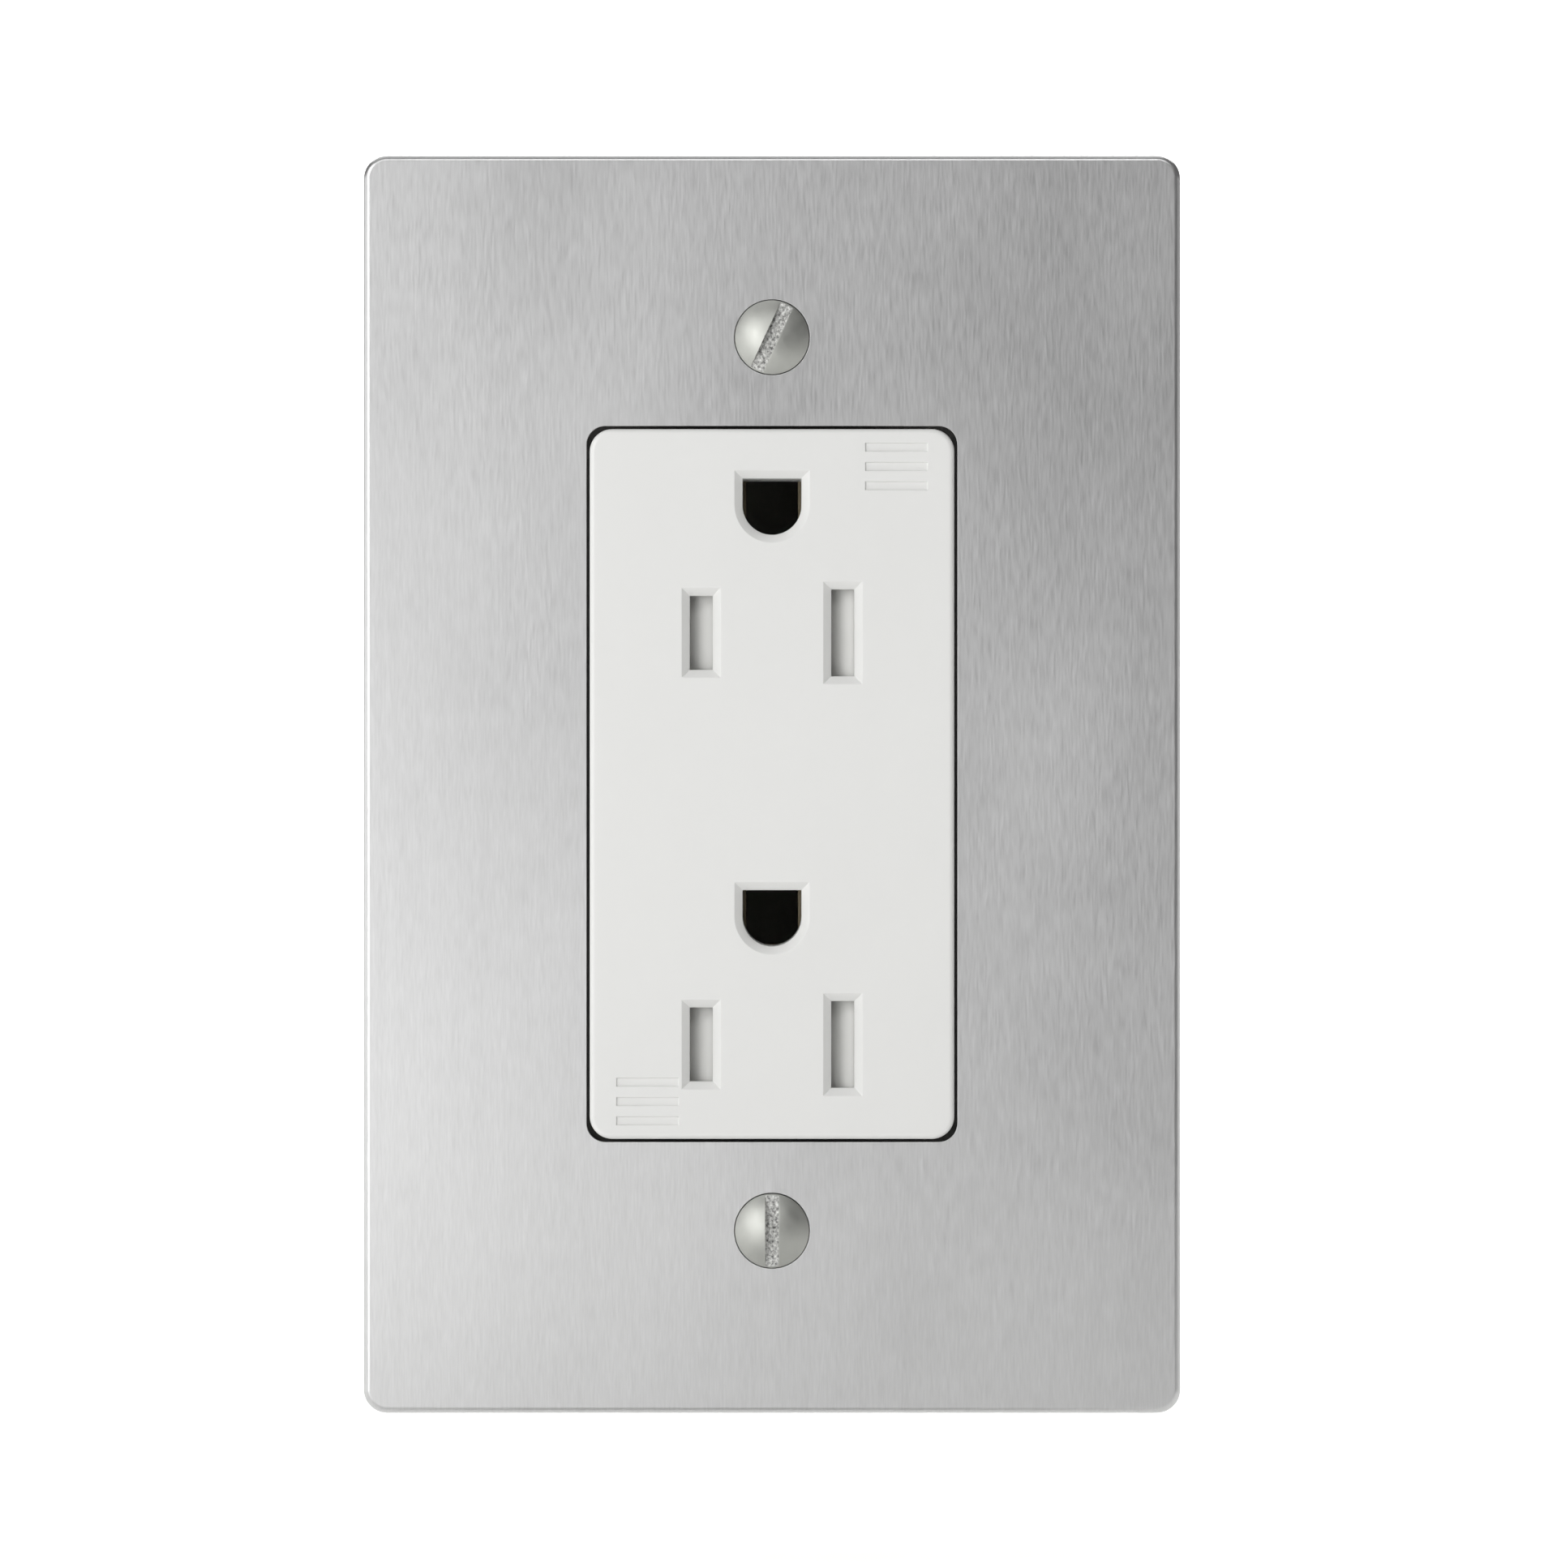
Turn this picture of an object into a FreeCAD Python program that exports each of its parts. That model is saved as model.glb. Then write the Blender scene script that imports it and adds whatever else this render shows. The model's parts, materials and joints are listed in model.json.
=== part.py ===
import FreeCAD, Part

import math
import os

import Sketcher
from FreeCAD import Placement, Rotation, Vector

# A one-gang wall plate cover of brushed stainless steel, with the tamper-resistant duplex receptacle that it
# covers, as one assembly. Millimetres. +Z is up, +X is to the right of a person who faces the plate, and the
# front faces -Y. The origin is in the plane of the wall, midway between the two cover screws. "Front" below
# is the distance forward of the wall plane, so what is inside the wall box has a negative front.

DIMENSIONS = {
    # Wall plate: a pressed sheet with its edges turned back to the wall.
    "plate_width": 76.2,
    "plate_height": 117.4,
    "plate_front": 5.2,
    "plate_sheet": 0.8,
    "plate_corner": 2.2,
    "plate_edge_round": 0.6,
    "opening_width": 34.6,
    "opening_height": 66.8,
    "opening_corner": 1.75,
    # Cover screws: 6-32 oval heads that pass through the strap into the ears of the wall box.
    "screw_pitch": 83.34,
    "dimple_mouth": 3.55,
    "dimple_hole": 1.95,
    "dimple_wall": 0.8,
    "head_radius": 3.45,
    "head_dome": 1.25,
    "head_rim": 0.12,
    "head_seat": 3.15,
    "shank_radius": 1.75,
    "thread_radius": 1.7,
    "shank_tip": 13.8,
    "tip_bevel": 0.5,
    "slot_width": 1.25,
    "slot_depth": 1.0,
    "upper_slot_turn": 25.0,
    "lower_slot_turn": 0.0,
    "retainer_side": 8.0,
    "retainer_thick": 0.8,
    "cover_gap": 0.1,
    # Mounting strap: formed steel sheet with its middle stretch set back between the two housings.
    "strap_thick": 1.5,
    "strap_end": 53.2,
    "strap_width": 33.0,
    "strap_neck": 24.0,
    "strap_web": 20.0,
    "wing_start": 44.5,
    "wing_inner": 6.5,
    "web_start": 34.1,
    "rail_front": -4.5,
    "rail_width": 8.0,
    "rail_pad": 13.0,
    "rail_hole": 3.8,
    "strap_slot_radius": 2.0,
    "strap_slot_reach": 1.5,
    "wing_hole": 1.6,
    "wing_hole_x": 11.5,
    "ear_step": 3.2,
    "rail_pad_half": 5.2,
    "bend_round": 1.0,
    # Face of the receptacle and the front housing behind it.
    "face_width": 34.0,
    "face_height": 66.2,
    "face_corner": 2.1,
    "face_front": 5.8,
    "face_round": 0.5,
    "face_wall": 2.0,
    "flange_width": 36.0,
    "flange_height": 67.8,
    "flange_front": 3.4,
    "flange_corner": 1.5,
    "seam_front": -5.25,
    "housing_wall": 2.4,
    "boss_x": 13.5,
    "boss_z": 29.9,
    "boss_radius": 2.2,
    "boss_hole": 1.2,
    # Plug apertures: blades 12.7 mm apart, earth pin 11.9 mm above their centre line. The blade slots stand a
    # little further apart and still take the blades.
    "outlet_upper": 14.1,
    "outlet_lower": -24.3,
    "blade_pitch": 12.7,
    "slot_spacing": 13.2,
    "blade_slot": 2.15,
    "hot_slot": 6.9,
    "neutral_slot": 8.1,
    "pin_rise": 11.9,
    "pin_width": 5.5,
    "pin_flat": 2.5,
    "bevel": 0.75,
    "sleeve_wall": 0.9,
    "sleeve_back": -4.3,
    # Generic mark in two corners of the face: three engraved bars.
    "mark_x": 11.6,
    "mark_z": 29.6,
    "mark_width": 5.8,
    "mark_bar": 0.8,
    "mark_pitch": 1.8,
    "mark_depth": 0.2,
    # Shutters, their trays and springs.
    "shutter_left": -7.9,
    "shutter_right": 8.6,
    "shutter_half": 4.9,
    "shutter_back": 0.5,
    "shutter_front": 3.6,
    "shutter_window": 2.6,
    "shutter_travel": 2.7,
    "shutter_border": 0.6,
    "ramp_drop": 0.9,
    "ramp_run": 2.4,
    "tray_half_width": 15.3,
    "tray_half": 5.6,
    "tray_front": 0.4,
    "tray_window": 2.7,
    "tray_window_half": 4.45,
    "guide_inner": 5.05,
    "guide_front": 2.3,
    "spring_radius": 1.15,
    "spring_wire": 0.16,
    "spring_front": 1.8,
    "spring_turns": 7.0,
    "spring_stop": 14.4,
    "spring_seat": 0.8,
    # Rear housing.
    "rear_width": 33.0,
    "rear_back": -26.0,
    "rear_corner": 1.6,
    "rear_wall": 1.8,
    "rear_floor": 2.0,
    "rear_chamfer": 0.8,
    "column_radius": 2.6,
    "terminal_z": 10.2,
    "terminal_front": -12.5,
    "terminal_window": 5.1,
    "rib_inner": 3.4,
    "rib_thick": 0.8,
    "rib_front": -8.0,
    "ledge_inner": 8.2,
    "ledge_outer": 12.6,
    "ledge_half": 1.2,
    "fin_window": 2.6,
    "bore_radius": 2.0,
    "bore_depth": 1.8,
    "wire_hole": 1.2,
    "wire_hole_x": 14.6,
    "wire_hole_rise": 3.1,
    "label_width": 20.0,
    "label_height": 30.0,
    "label_depth": 0.4,
    "release_x": 11.8,
    "release_width": 1.0,
    "release_height": 2.8,
    "release_depth": 1.0,
    "gauge_length": 16.0,
    "gauge_height": 2.4,
    "gauge_z": -20.6,
    # Contacts: each bus is one stamping with a break-off fin between its two outlets.
    "bus_inner": 13.2,
    "bus_thick": 0.8,
    "bus_front": -8.0,
    "bus_back": -17.0,
    "bus_gap": 4.0,
    "bus_upper_end": 18.6,
    "bus_lower_end": 26.4,
    "fin_back": -10.2,
    "nick_half": 0.6,
    "nick_depth": 1.2,
    "jaw_gap": 0.9,
    "jaw_leaf": 0.7,
    "jaw_half": 4.0,
    "foot_half": 2.0,
    "jaw_front": -7.2,
    "jaw_back": -15.8,
    "earth_bar_half": 2.6,
    "earth_bar_thick": 0.8,
    "earth_pad_half": 4.4,
    "earth_hole_half": 2.7,
    "finger_inner": 2.45,
    "finger_thick": 0.6,
    "finger_half": 2.2,
    "finger_back": -15.0,
    "rivet_z": 4.0,
    "rivet_radius": 1.0,
    "rivet_head": 1.8,
    "rivet_head_thick": 0.55,
    # Terminals: a binding screw that carries a wire clamp plate.
    "clamp_inner": 14.2,
    "clamp_thick": 1.2,
    "clamp_side": 8.8,
    "clamp_hole": 2.25,
    "clamp_groove": 0.35,
    "clamp_groove_width": 1.3,
    "clamp_groove_z": 3.2,
    "terminal_gap": 0.1,
    "terminal_head": 3.9,
    "terminal_head_thick": 2.1,
    "terminal_crown": 0.5,
    "terminal_tip": 0.6,
    "terminal_shank": 2.05,
    "terminal_length": 5.8,
    "terminal_slot": 1.2,
    "terminal_slot_depth": 1.1,
    "tapped_hole": 2.1,
    "earth_tab_x": 12.7,
    "earth_tab_z": -40.4,
    "earth_tab_half": 4.5,
    "earth_tab_back": -9.4,
    "earth_tab_front": -4.7,
    "earth_clamp_gap": 0.2,
    # Screws that hold the two housings together.
    "case_screw": 1.15,
    "case_screw_tip": 1.2,
    "case_head": 1.9,
    "case_head_thick": 1.5,
    "cross_half": 1.2,
    "cross_thick": 0.3,
    "cross_depth": 0.7,
}

UPPER, LOWER = 1, -1
RIGHT, LEFT = 1, -1
CLEARANCE = 0.05


class Size:
    """A length that knows its value and the formula that gives it from the sheet's cells."""

    def __init__(self, value, formula=None):
        self.value = float(value)
        self.formula = formula or f"{float(value):.6g}"

    def __add__(self, other):
        other = size(other)
        return Size(self.value + other.value, f"({self.formula} + {other.formula})")

    def __sub__(self, other):
        other = size(other)
        return Size(self.value - other.value, f"({self.formula} - {other.formula})")

    def __mul__(self, other):
        other = size(other)
        return Size(self.value * other.value, f"({self.formula} * {other.formula})")

    def __truediv__(self, other):
        other = size(other)
        return Size(self.value / other.value, f"({self.formula} / {other.formula})")

    def __neg__(self):
        return self * -1

    def __radd__(self, other):
        return size(other) + self

    def __rsub__(self, other):
        return size(other) - self

    def __rmul__(self, other):
        return size(other) * self


def size(number):
    """A Size from a number, or the Size itself."""
    return number if isinstance(number, Size) else Size(number)


class Cells:
    """The sheet's cells as Sizes, by their aliases."""

    def __init__(self, sheet):
        self.sheet = sheet

    def __getattr__(self, alias):
        return Size(self.sheet.get(alias), f"Dims.{alias}")


def fill_sheet(doc):
    """Writes the driving dimensions to the spreadsheet: a name in column A, its number in column B."""
    sheet = doc.addObject("Spreadsheet::Sheet", "Dims")
    for row, (alias, number) in enumerate(DIMENSIONS.items(), start=1):
        sheet.set(f"A{row}", alias)
        sheet.set(f"B{row}", str(number))
        sheet.setAlias(f"B{row}", alias)
    doc.recompute()
    return Cells(sheet)


doc = FreeCAD.newDocument("wall_plate_cover")
cell = fill_sheet(doc)
nodes = []


# Drawing helpers -------------------------------------------------------------------------------------------


def bind(thing, path, formula):
    """Binds one property of an object to a formula of the sheet's cells."""
    thing.setExpression(path, size(formula).formula)


def new_body(label):
    """An empty PartDesign body."""
    body = doc.addObject("PartDesign::Body", label)
    body.Label = label
    return body


def plane_of(body, role):
    """One of the body's own origin planes."""
    return next(item for item in body.Origin.OriginFeatures if item.Role == role)


def hold(sketch, edge, point, kind, distance):
    """Fixes one coordinate of an edge's point, measured from the sketch's origin."""
    distance = size(distance)
    if distance.value == 0:
        axis = -2 if kind == "DistanceX" else -1
        sketch.addConstraint(Sketcher.Constraint("PointOnObject", edge, point, axis))
        return
    number = sketch.addConstraint(Sketcher.Constraint(kind, -1, 1, edge, point, distance.value))
    sketch.setExpression(f"Constraints[{number}]", distance.formula)


def arc_between(start, end, centre):
    """A counter-clockwise arc."""
    first = math.atan2(start.y - centre.y, start.x - centre.x)
    last = math.atan2(end.y - centre.y, end.x - centre.x)
    if last <= first:
        last += 2 * math.pi
    circle = Part.Circle(centre, Vector(0, 0, 1), (start - centre).Length)
    return Part.ArcOfCircle(circle, first, last)


def draw(sketch, outline):
    """Draws a closed outline counter-clockwise. A point with four numbers starts an arc about the last two."""
    spots = [Vector(size(point[0]).value, size(point[1]).value, 0) for point in outline]
    first = sketch.GeometryCount
    for number, point in enumerate(outline):
        start, end = spots[number], spots[(number + 1) % len(spots)]
        if len(point) == 2:
            sketch.addGeometry(Part.LineSegment(start, end))
        else:
            centre = Vector(size(point[2]).value, size(point[3]).value, 0)
            sketch.addGeometry(arc_between(start, end, centre))
    for number, point in enumerate(outline):
        edge = first + number
        following = (number + 1) % len(outline)
        sketch.addConstraint(Sketcher.Constraint("Coincident", edge, 2, first + following, 1))
        hold(sketch, edge, 1, "DistanceX", point[0])
        hold(sketch, edge, 1, "DistanceY", point[1])
        if len(point) == 4:
            level = abs(spots[number].y - spots[following].y) < 1e-6
            hold(sketch, edge, 3, "DistanceY" if level else "DistanceX", point[3] if level else point[2])


def sketch_on(body, role, height, outlines):
    """A sketch with closed outlines, on a plane parallel to one of the body's own."""
    sketch = body.newObject("Sketcher::SketchObject", "Sketch")
    sketch.AttachmentSupport = [(plane_of(body, role), "")]
    sketch.MapMode = "FlatFace"
    bind(sketch, "AttachmentOffset.Base.z", height)
    for outline in outlines:
        draw(sketch, outline)
    return sketch


def pad(body, low, high, outlines, role="XZ_Plane"):
    """Adds a prism between two heights over a plane. On XZ_Plane a height is a distance forward."""
    feature = body.newObject("PartDesign::Pad", "Pad")
    feature.Profile = sketch_on(body, role, low, outlines)
    bind(feature, "Length", size(high) - low)
    doc.recompute()
    return feature


def pocket(body, low, high, outlines, role="XZ_Plane"):
    """Cuts a prism between two heights over a plane, and makes sure that it took material away."""
    before = body.Shape.Volume
    feature = body.newObject("PartDesign::Pocket", "Pocket")
    feature.Profile = sketch_on(body, role, high, outlines)
    bind(feature, "Length", size(high) - low)
    doc.recompute()
    if body.Shape.Volume > before - 1e-6:
        raise ValueError(f"a pocket of {body.Label} cuts nothing")
    return feature


def revolve(body, outline):
    """Turns an outline of (radius, height) about the body's Z axis."""
    feature = body.newObject("PartDesign::Revolution", "Revolution")
    sketch = sketch_on(body, "XZ_Plane", 0, [outline])
    feature.Profile = sketch
    feature.ReferenceAxis = (sketch, ["V_Axis"])
    feature.Angle = 360
    doc.recompute()
    return feature


def dress(body, kind, amount, wanted):
    """Puts a Fillet or a Chamfer on the edges of the body that a test picks."""
    names = [f"Edge{number}" for number, edge in enumerate(body.Shape.Edges, start=1) if wanted(edge)]
    if not names:
        raise ValueError(f"no edge of {body.Label} suits its {kind}")
    feature = body.newObject(f"PartDesign::{kind}", kind)
    feature.Base = (body.Tip if body.Tip != feature else feature.BaseFeature, names)
    bind(feature, "Radius" if kind == "Fillet" else "Size", amount)
    doc.recompute()
    return feature


def drill(body, kind, radius, low, high, across, along, far_radius=None):
    """Adds or cuts a cylinder, or a cone where far_radius is given, that stands on XZ_Plane."""
    shape = "Cylinder" if far_radius is None else "Cone"
    feature = body.newObject(f"PartDesign::{kind}{shape}", kind + shape)
    feature.AttachmentSupport = [(plane_of(body, "XZ_Plane"), "")]
    feature.MapMode = "FlatFace"
    bind(feature, "AttachmentOffset.Base.x", across)
    bind(feature, "AttachmentOffset.Base.y", along)
    bind(feature, "AttachmentOffset.Base.z", low)
    bind(feature, "Height", size(high) - low)
    if far_radius is None:
        bind(feature, "Radius", radius)
    else:
        bind(feature, "Radius1", radius)
        bind(feature, "Radius2", far_radius)
    doc.recompute()
    return feature


def rectangle(left, right, bottom, top):
    """The four corners of a rectangle."""
    return [(left, bottom), (right, bottom), (right, top), (left, top)]


def centred(width, height, across=0, along=0):
    """The four corners of a rectangle about a point."""
    return rectangle(
        size(across) - size(width) / 2,
        size(across) + size(width) / 2,
        size(along) - size(height) / 2,
        size(along) + size(height) / 2,
    )


def rounded(width, height, radius):
    """A rectangle about the origin with round corners."""
    side, top, radius = size(width) / 2, size(height) / 2, size(radius)
    inner_side, inner_top = side - radius, top - radius
    return [
        (-inner_side, -top),
        (inner_side, -top, inner_side, -inner_top),
        (side, -inner_top),
        (side, inner_top, inner_side, inner_top),
        (inner_side, top),
        (-inner_side, top, -inner_side, inner_top),
        (-side, inner_top),
        (-side, -inner_top, -inner_side, -inner_top),
    ]


def pin_outline(centre, grown=0):
    """The U of an earth aperture: flat across the top, round below. grown makes it larger all round."""
    half = cell.pin_width / 2 + grown
    top = size(centre) + cell.pin_flat + grown
    return [(-half, centre, 0, centre), (half, centre), (half, top), (-half, top)]


def in_plane(edge, height):
    """Whether an edge lies in the plane at this distance forward."""
    box = edge.BoundBox
    return abs(box.YMin + height) < 1e-4 and abs(box.YMax + height) < 1e-4


def block(left, right, back, front, bottom, top):
    """A box between six planes."""
    box = doc.addObject("Part::Box", "Block")
    bind(box, "Length", size(right) - left)
    bind(box, "Width", size(front) - back)
    bind(box, "Height", size(top) - bottom)
    bind(box, "Placement.Base.x", left)
    bind(box, "Placement.Base.y", -size(front))
    bind(box, "Placement.Base.z", bottom)
    return box


def side_block(side, near, far, back, front, bottom, top):
    """A box that lies to the right of the middle, or is mirrored to the left."""
    if side == RIGHT:
        return block(near, far, back, front, bottom, top)
    return block(-size(far), -size(near), back, front, bottom, top)


def forward_rod(radius, back, front, across, along):
    """A cylinder along the way forward."""
    rod = doc.addObject("Part::Cylinder", "Rod")
    rod.Placement = Placement(Vector(), Rotation(Vector(1, 0, 0), 90))
    bind(rod, "Radius", radius)
    bind(rod, "Height", size(front) - back)
    bind(rod, "Placement.Base.x", across)
    bind(rod, "Placement.Base.y", -size(back))
    bind(rod, "Placement.Base.z", along)
    return rod


def side_rod(radius, left, right, front, along):
    """A cylinder along X."""
    rod = doc.addObject("Part::Cylinder", "Rod")
    rod.Placement = Placement(Vector(), Rotation(Vector(0, 1, 0), 90))
    bind(rod, "Radius", radius)
    bind(rod, "Height", size(right) - left)
    bind(rod, "Placement.Base.x", left)
    bind(rod, "Placement.Base.y", -size(front))
    bind(rod, "Placement.Base.z", along)
    return rod


def fuse(shapes):
    """One solid from several that touch or overlap."""
    union = doc.addObject("Part::MultiFuse", "Union")
    union.Shapes = shapes
    union.Refine = True
    return union


def cut(base, tools):
    """A solid with others cut out of it."""
    rest = doc.addObject("Part::Cut", "Cut")
    rest.Base = base
    rest.Tool = fuse(list(tools))
    rest.Refine = True
    return rest


def finish(piece, label):
    """Names a finished sub-part and lists it for export."""
    piece.Label = label
    nodes.append(piece)
    return piece


def place(body, across, front, along, rotation):
    """Sets a body that was drawn about its own origin down in the assembly."""
    body.Placement = Placement(Vector(), rotation)
    bind(body, "Placement.Base.x", across)
    bind(body, "Placement.Base.y", -size(front))
    bind(body, "Placement.Base.z", along)


# Wall plate and its screws ---------------------------------------------------------------------------------


def screw_z(end):
    """Height of the upper or the lower cover screw."""
    return cell.screw_pitch / 2 * end


def wall_plate():
    """A shallow pressed tray, open at the back, with the device opening and two dimpled screw holes."""
    body = new_body("wall_plate")
    inside = cell.plate_front - cell.plate_sheet
    dimple_back = cell.strap_thick + cell.retainer_thick + cell.cover_gap
    dimple_floor = dimple_back + cell.dimple_wall
    pad(body, 0, cell.plate_front, [rounded(cell.plate_width, cell.plate_height, cell.plate_corner)])
    dress(body, "Fillet", cell.plate_edge_round, lambda edge: in_plane(edge, cell.plate_front.value))
    hollow = rounded(
        cell.plate_width - 2 * cell.plate_sheet,
        cell.plate_height - 2 * cell.plate_sheet,
        cell.plate_corner - cell.plate_sheet,
    )
    pocket(body, 0, inside, [hollow])
    opening = rounded(cell.opening_width, cell.opening_height, cell.opening_corner)
    pocket(body, inside, cell.plate_front, [opening])
    for end in (UPPER, LOWER):
        outer = cell.dimple_hole + cell.dimple_wall, cell.dimple_mouth + cell.dimple_wall
        drill(body, "Additive", outer[0], dimple_back, inside + CLEARANCE, 0, screw_z(end), outer[1])
        mouth = cell.dimple_mouth
        drill(body, "Subtractive", cell.dimple_hole, dimple_floor, cell.plate_front, 0, screw_z(end), mouth)
        drill(body, "Subtractive", cell.dimple_hole, dimple_back, dimple_floor, 0, screw_z(end))
    finish(body, "wall_plate")


def cover_screw(label, end, turn):
    """A slotted oval-head screw, drawn with its head up and the plate's front plane at its origin."""
    body = new_body(label)
    rise = cell.head_dome - cell.head_rim
    dome_radius = (cell.head_radius * cell.head_radius + rise * rise) / (2 * rise)
    seat = cell.head_seat - cell.plate_front
    thread_start = -cell.plate_front
    tip = thread_start - cell.shank_tip
    revolve(
        body,
        [
            (0, tip),
            (cell.thread_radius - cell.tip_bevel, tip),
            (cell.thread_radius, tip + cell.tip_bevel),
            (cell.thread_radius, thread_start),
            (cell.shank_radius, thread_start),
            (cell.shank_radius, seat),
            (cell.head_radius, 0),
            (cell.head_radius, cell.head_rim, 0, cell.head_dome - dome_radius),
            (0, cell.head_dome),
        ],
    )
    across = centred(2.2 * cell.head_radius, cell.slot_width)
    pocket(body, cell.head_dome - cell.slot_depth, cell.head_dome + 1, [across], "XY_Plane")
    forward = Rotation(Vector(1, 0, 0), 90)
    place(body, 0, cell.plate_front, screw_z(end), Rotation(Vector(0, 1, 0), 90 + turn.value) * forward)
    finish(body, label)


def screw_retainer(label, end):
    """A square fibre washer that holds the cover screw in the strap."""
    body = new_body(label)
    front = cell.strap_thick + cell.retainer_thick
    pad(body, cell.strap_thick, front, [centred(cell.retainer_side, cell.retainer_side, 0, screw_z(end))])
    hole = cell.shank_radius + CLEARANCE
    drill(body, "Subtractive", hole, cell.strap_thick, front, 0, screw_z(end))
    finish(body, label)


# Mounting strap --------------------------------------------------------------------------------------------


def strap_end_blocks(end):
    """The ear, its two break-off wings and the web that steps back to the rail, at one end of the strap."""

    def span(near, far):
        near, far = size(near), size(far)
        return (near, far) if end == UPPER else (-far, -near)

    front, thick = cell.strap_thick, cell.strap_thick
    web_end = cell.web_start + thick
    half_neck, half_web = cell.strap_neck / 2, cell.strap_web / 2
    rail_back = cell.rail_front - thick
    ear_end = cell.strap_end - cell.ear_step
    yield block(-half_neck, half_neck, 0, front, *span(cell.web_start, ear_end))
    yield block(-half_web, half_web, rail_back, front, *span(cell.web_start, web_end))
    wing = span(cell.wing_start, cell.strap_end)
    for side in (LEFT, RIGHT):
        yield side_block(side, cell.wing_inner, cell.strap_width / 2, 0, front, *wing)


def bend_edge(edge):
    """Whether an edge runs across the strap at the outside of one of its bends."""
    box = edge.BoundBox
    thick, web = cell.strap_thick.value, cell.web_start.value
    across = box.XLength > 6 and box.YLength < 1e-4 and box.ZLength < 1e-4
    at_front = abs(abs(box.ZMin) - web) < 1e-4 and abs(box.YMin + thick) < 1e-4
    at_back = abs(abs(box.ZMin) - web - thick) < 1e-4 and box.YMin > thick
    return across and (at_front or at_back)


def strap_holes():
    """The oblong screw slots, the holes in the wings, the rivet holes and the earth pins' holes."""
    thick = cell.strap_thick
    reach, slot = cell.strap_slot_reach, cell.strap_slot_radius
    wing_middle = (cell.wing_start + cell.strap_end) / 2
    behind, ahead = cell.rail_front - thick - 1, cell.rail_front + 1
    for end in (UPPER, LOWER):
        for side in (LEFT, RIGHT):
            yield forward_rod(slot, -1, thick + 1, reach * side, screw_z(end))
            yield forward_rod(cell.wing_hole, -1, thick + 1, cell.wing_hole_x * side, wing_middle * end)
        yield block(-reach, reach, -1, thick + 1, screw_z(end) - slot, screw_z(end) + slot)
        yield forward_rod(cell.rivet_radius + CLEARANCE, behind, ahead, 0, cell.rivet_z * end)
    for outlet in (cell.outlet_upper, cell.outlet_lower):
        yield forward_rod(cell.rail_hole, behind, ahead, 0, outlet + cell.pin_rise)


def mounting_strap():
    """The steel strap: ears on the wall, webs, the rail between the housings, and the earth screw's tab."""
    thick = cell.strap_thick
    rail_back = cell.rail_front - thick
    web_end = cell.web_start + thick
    half_rail, half_pad = cell.rail_width / 2, cell.rail_pad / 2
    blocks = [block(-half_rail, half_rail, rail_back, cell.rail_front, -web_end, web_end)]
    for outlet in (cell.outlet_upper, cell.outlet_lower):
        pin = outlet + cell.pin_rise
        low, high = pin - cell.rail_pad_half, pin + cell.rail_pad_half
        blocks.append(block(-half_pad, half_pad, rail_back, cell.rail_front, low, high))
    for end in (UPPER, LOWER):
        blocks.extend(strap_end_blocks(end))
    tab_left, tab_right = -(cell.earth_tab_x + thick), -cell.earth_tab_x
    tab_low, tab_high = cell.earth_tab_z - cell.earth_tab_half, cell.earth_tab_z + cell.earth_tab_half
    blocks.append(block(tab_left, tab_right, cell.earth_tab_back, thick, tab_low, tab_high))
    blocks.append(block(tab_left, -cell.strap_neck / 2, 0, thick, tab_low, tab_high))
    formed = fuse(blocks)
    doc.recompute()
    bends = doc.addObject("Part::Fillet", "Bends")
    bends.Base = formed
    radius = cell.bend_round.value
    edges = enumerate(formed.Shape.Edges, start=1)
    bends.Edges = [(number, radius, radius) for number, edge in edges if bend_edge(edge)]
    tools = list(strap_holes())
    screw_hole = tab_left - 1, tab_right + 1, cell.earth_tab_front, cell.earth_tab_z
    tools.append(side_rod(cell.tapped_hole, *screw_hole))
    finish(cut(bends, tools), "mounting_strap")


# Front housing and shutters --------------------------------------------------------------------------------


def aperture_outlines():
    """The two blade slots and the earth aperture of each outlet."""
    half_spacing = cell.slot_spacing / 2
    for outlet in (cell.outlet_upper, cell.outlet_lower):
        yield centred(cell.blade_slot, cell.hot_slot, -half_spacing, outlet)
        yield centred(cell.blade_slot, cell.neutral_slot, half_spacing, outlet)
        yield pin_outline(outlet + cell.pin_rise)


def at_aperture(edge):
    """Whether an edge of the face plane belongs to an aperture and not to the face's outline."""
    box = edge.BoundBox
    inside = max(abs(box.XMin), abs(box.XMax)) < 12 and max(abs(box.ZMin), abs(box.ZMax)) < 31
    return in_plane(edge, cell.face_front.value) and inside


def mark_bars():
    """Three level bars in the upper right corner of the face and three in the lower left one."""
    for end in (UPPER, LOWER):
        for step in (-1, 0, 1):
            along = (cell.mark_z + cell.mark_pitch * step) * end
            yield centred(cell.mark_width, cell.mark_bar, cell.mark_x * end, along)


def rail_notch():
    """The outline of the notch in each housing's ends that the strap's rail lies in."""
    return centred(cell.rail_width + 2 * CLEARANCE, cell.flange_height + 1)


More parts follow.
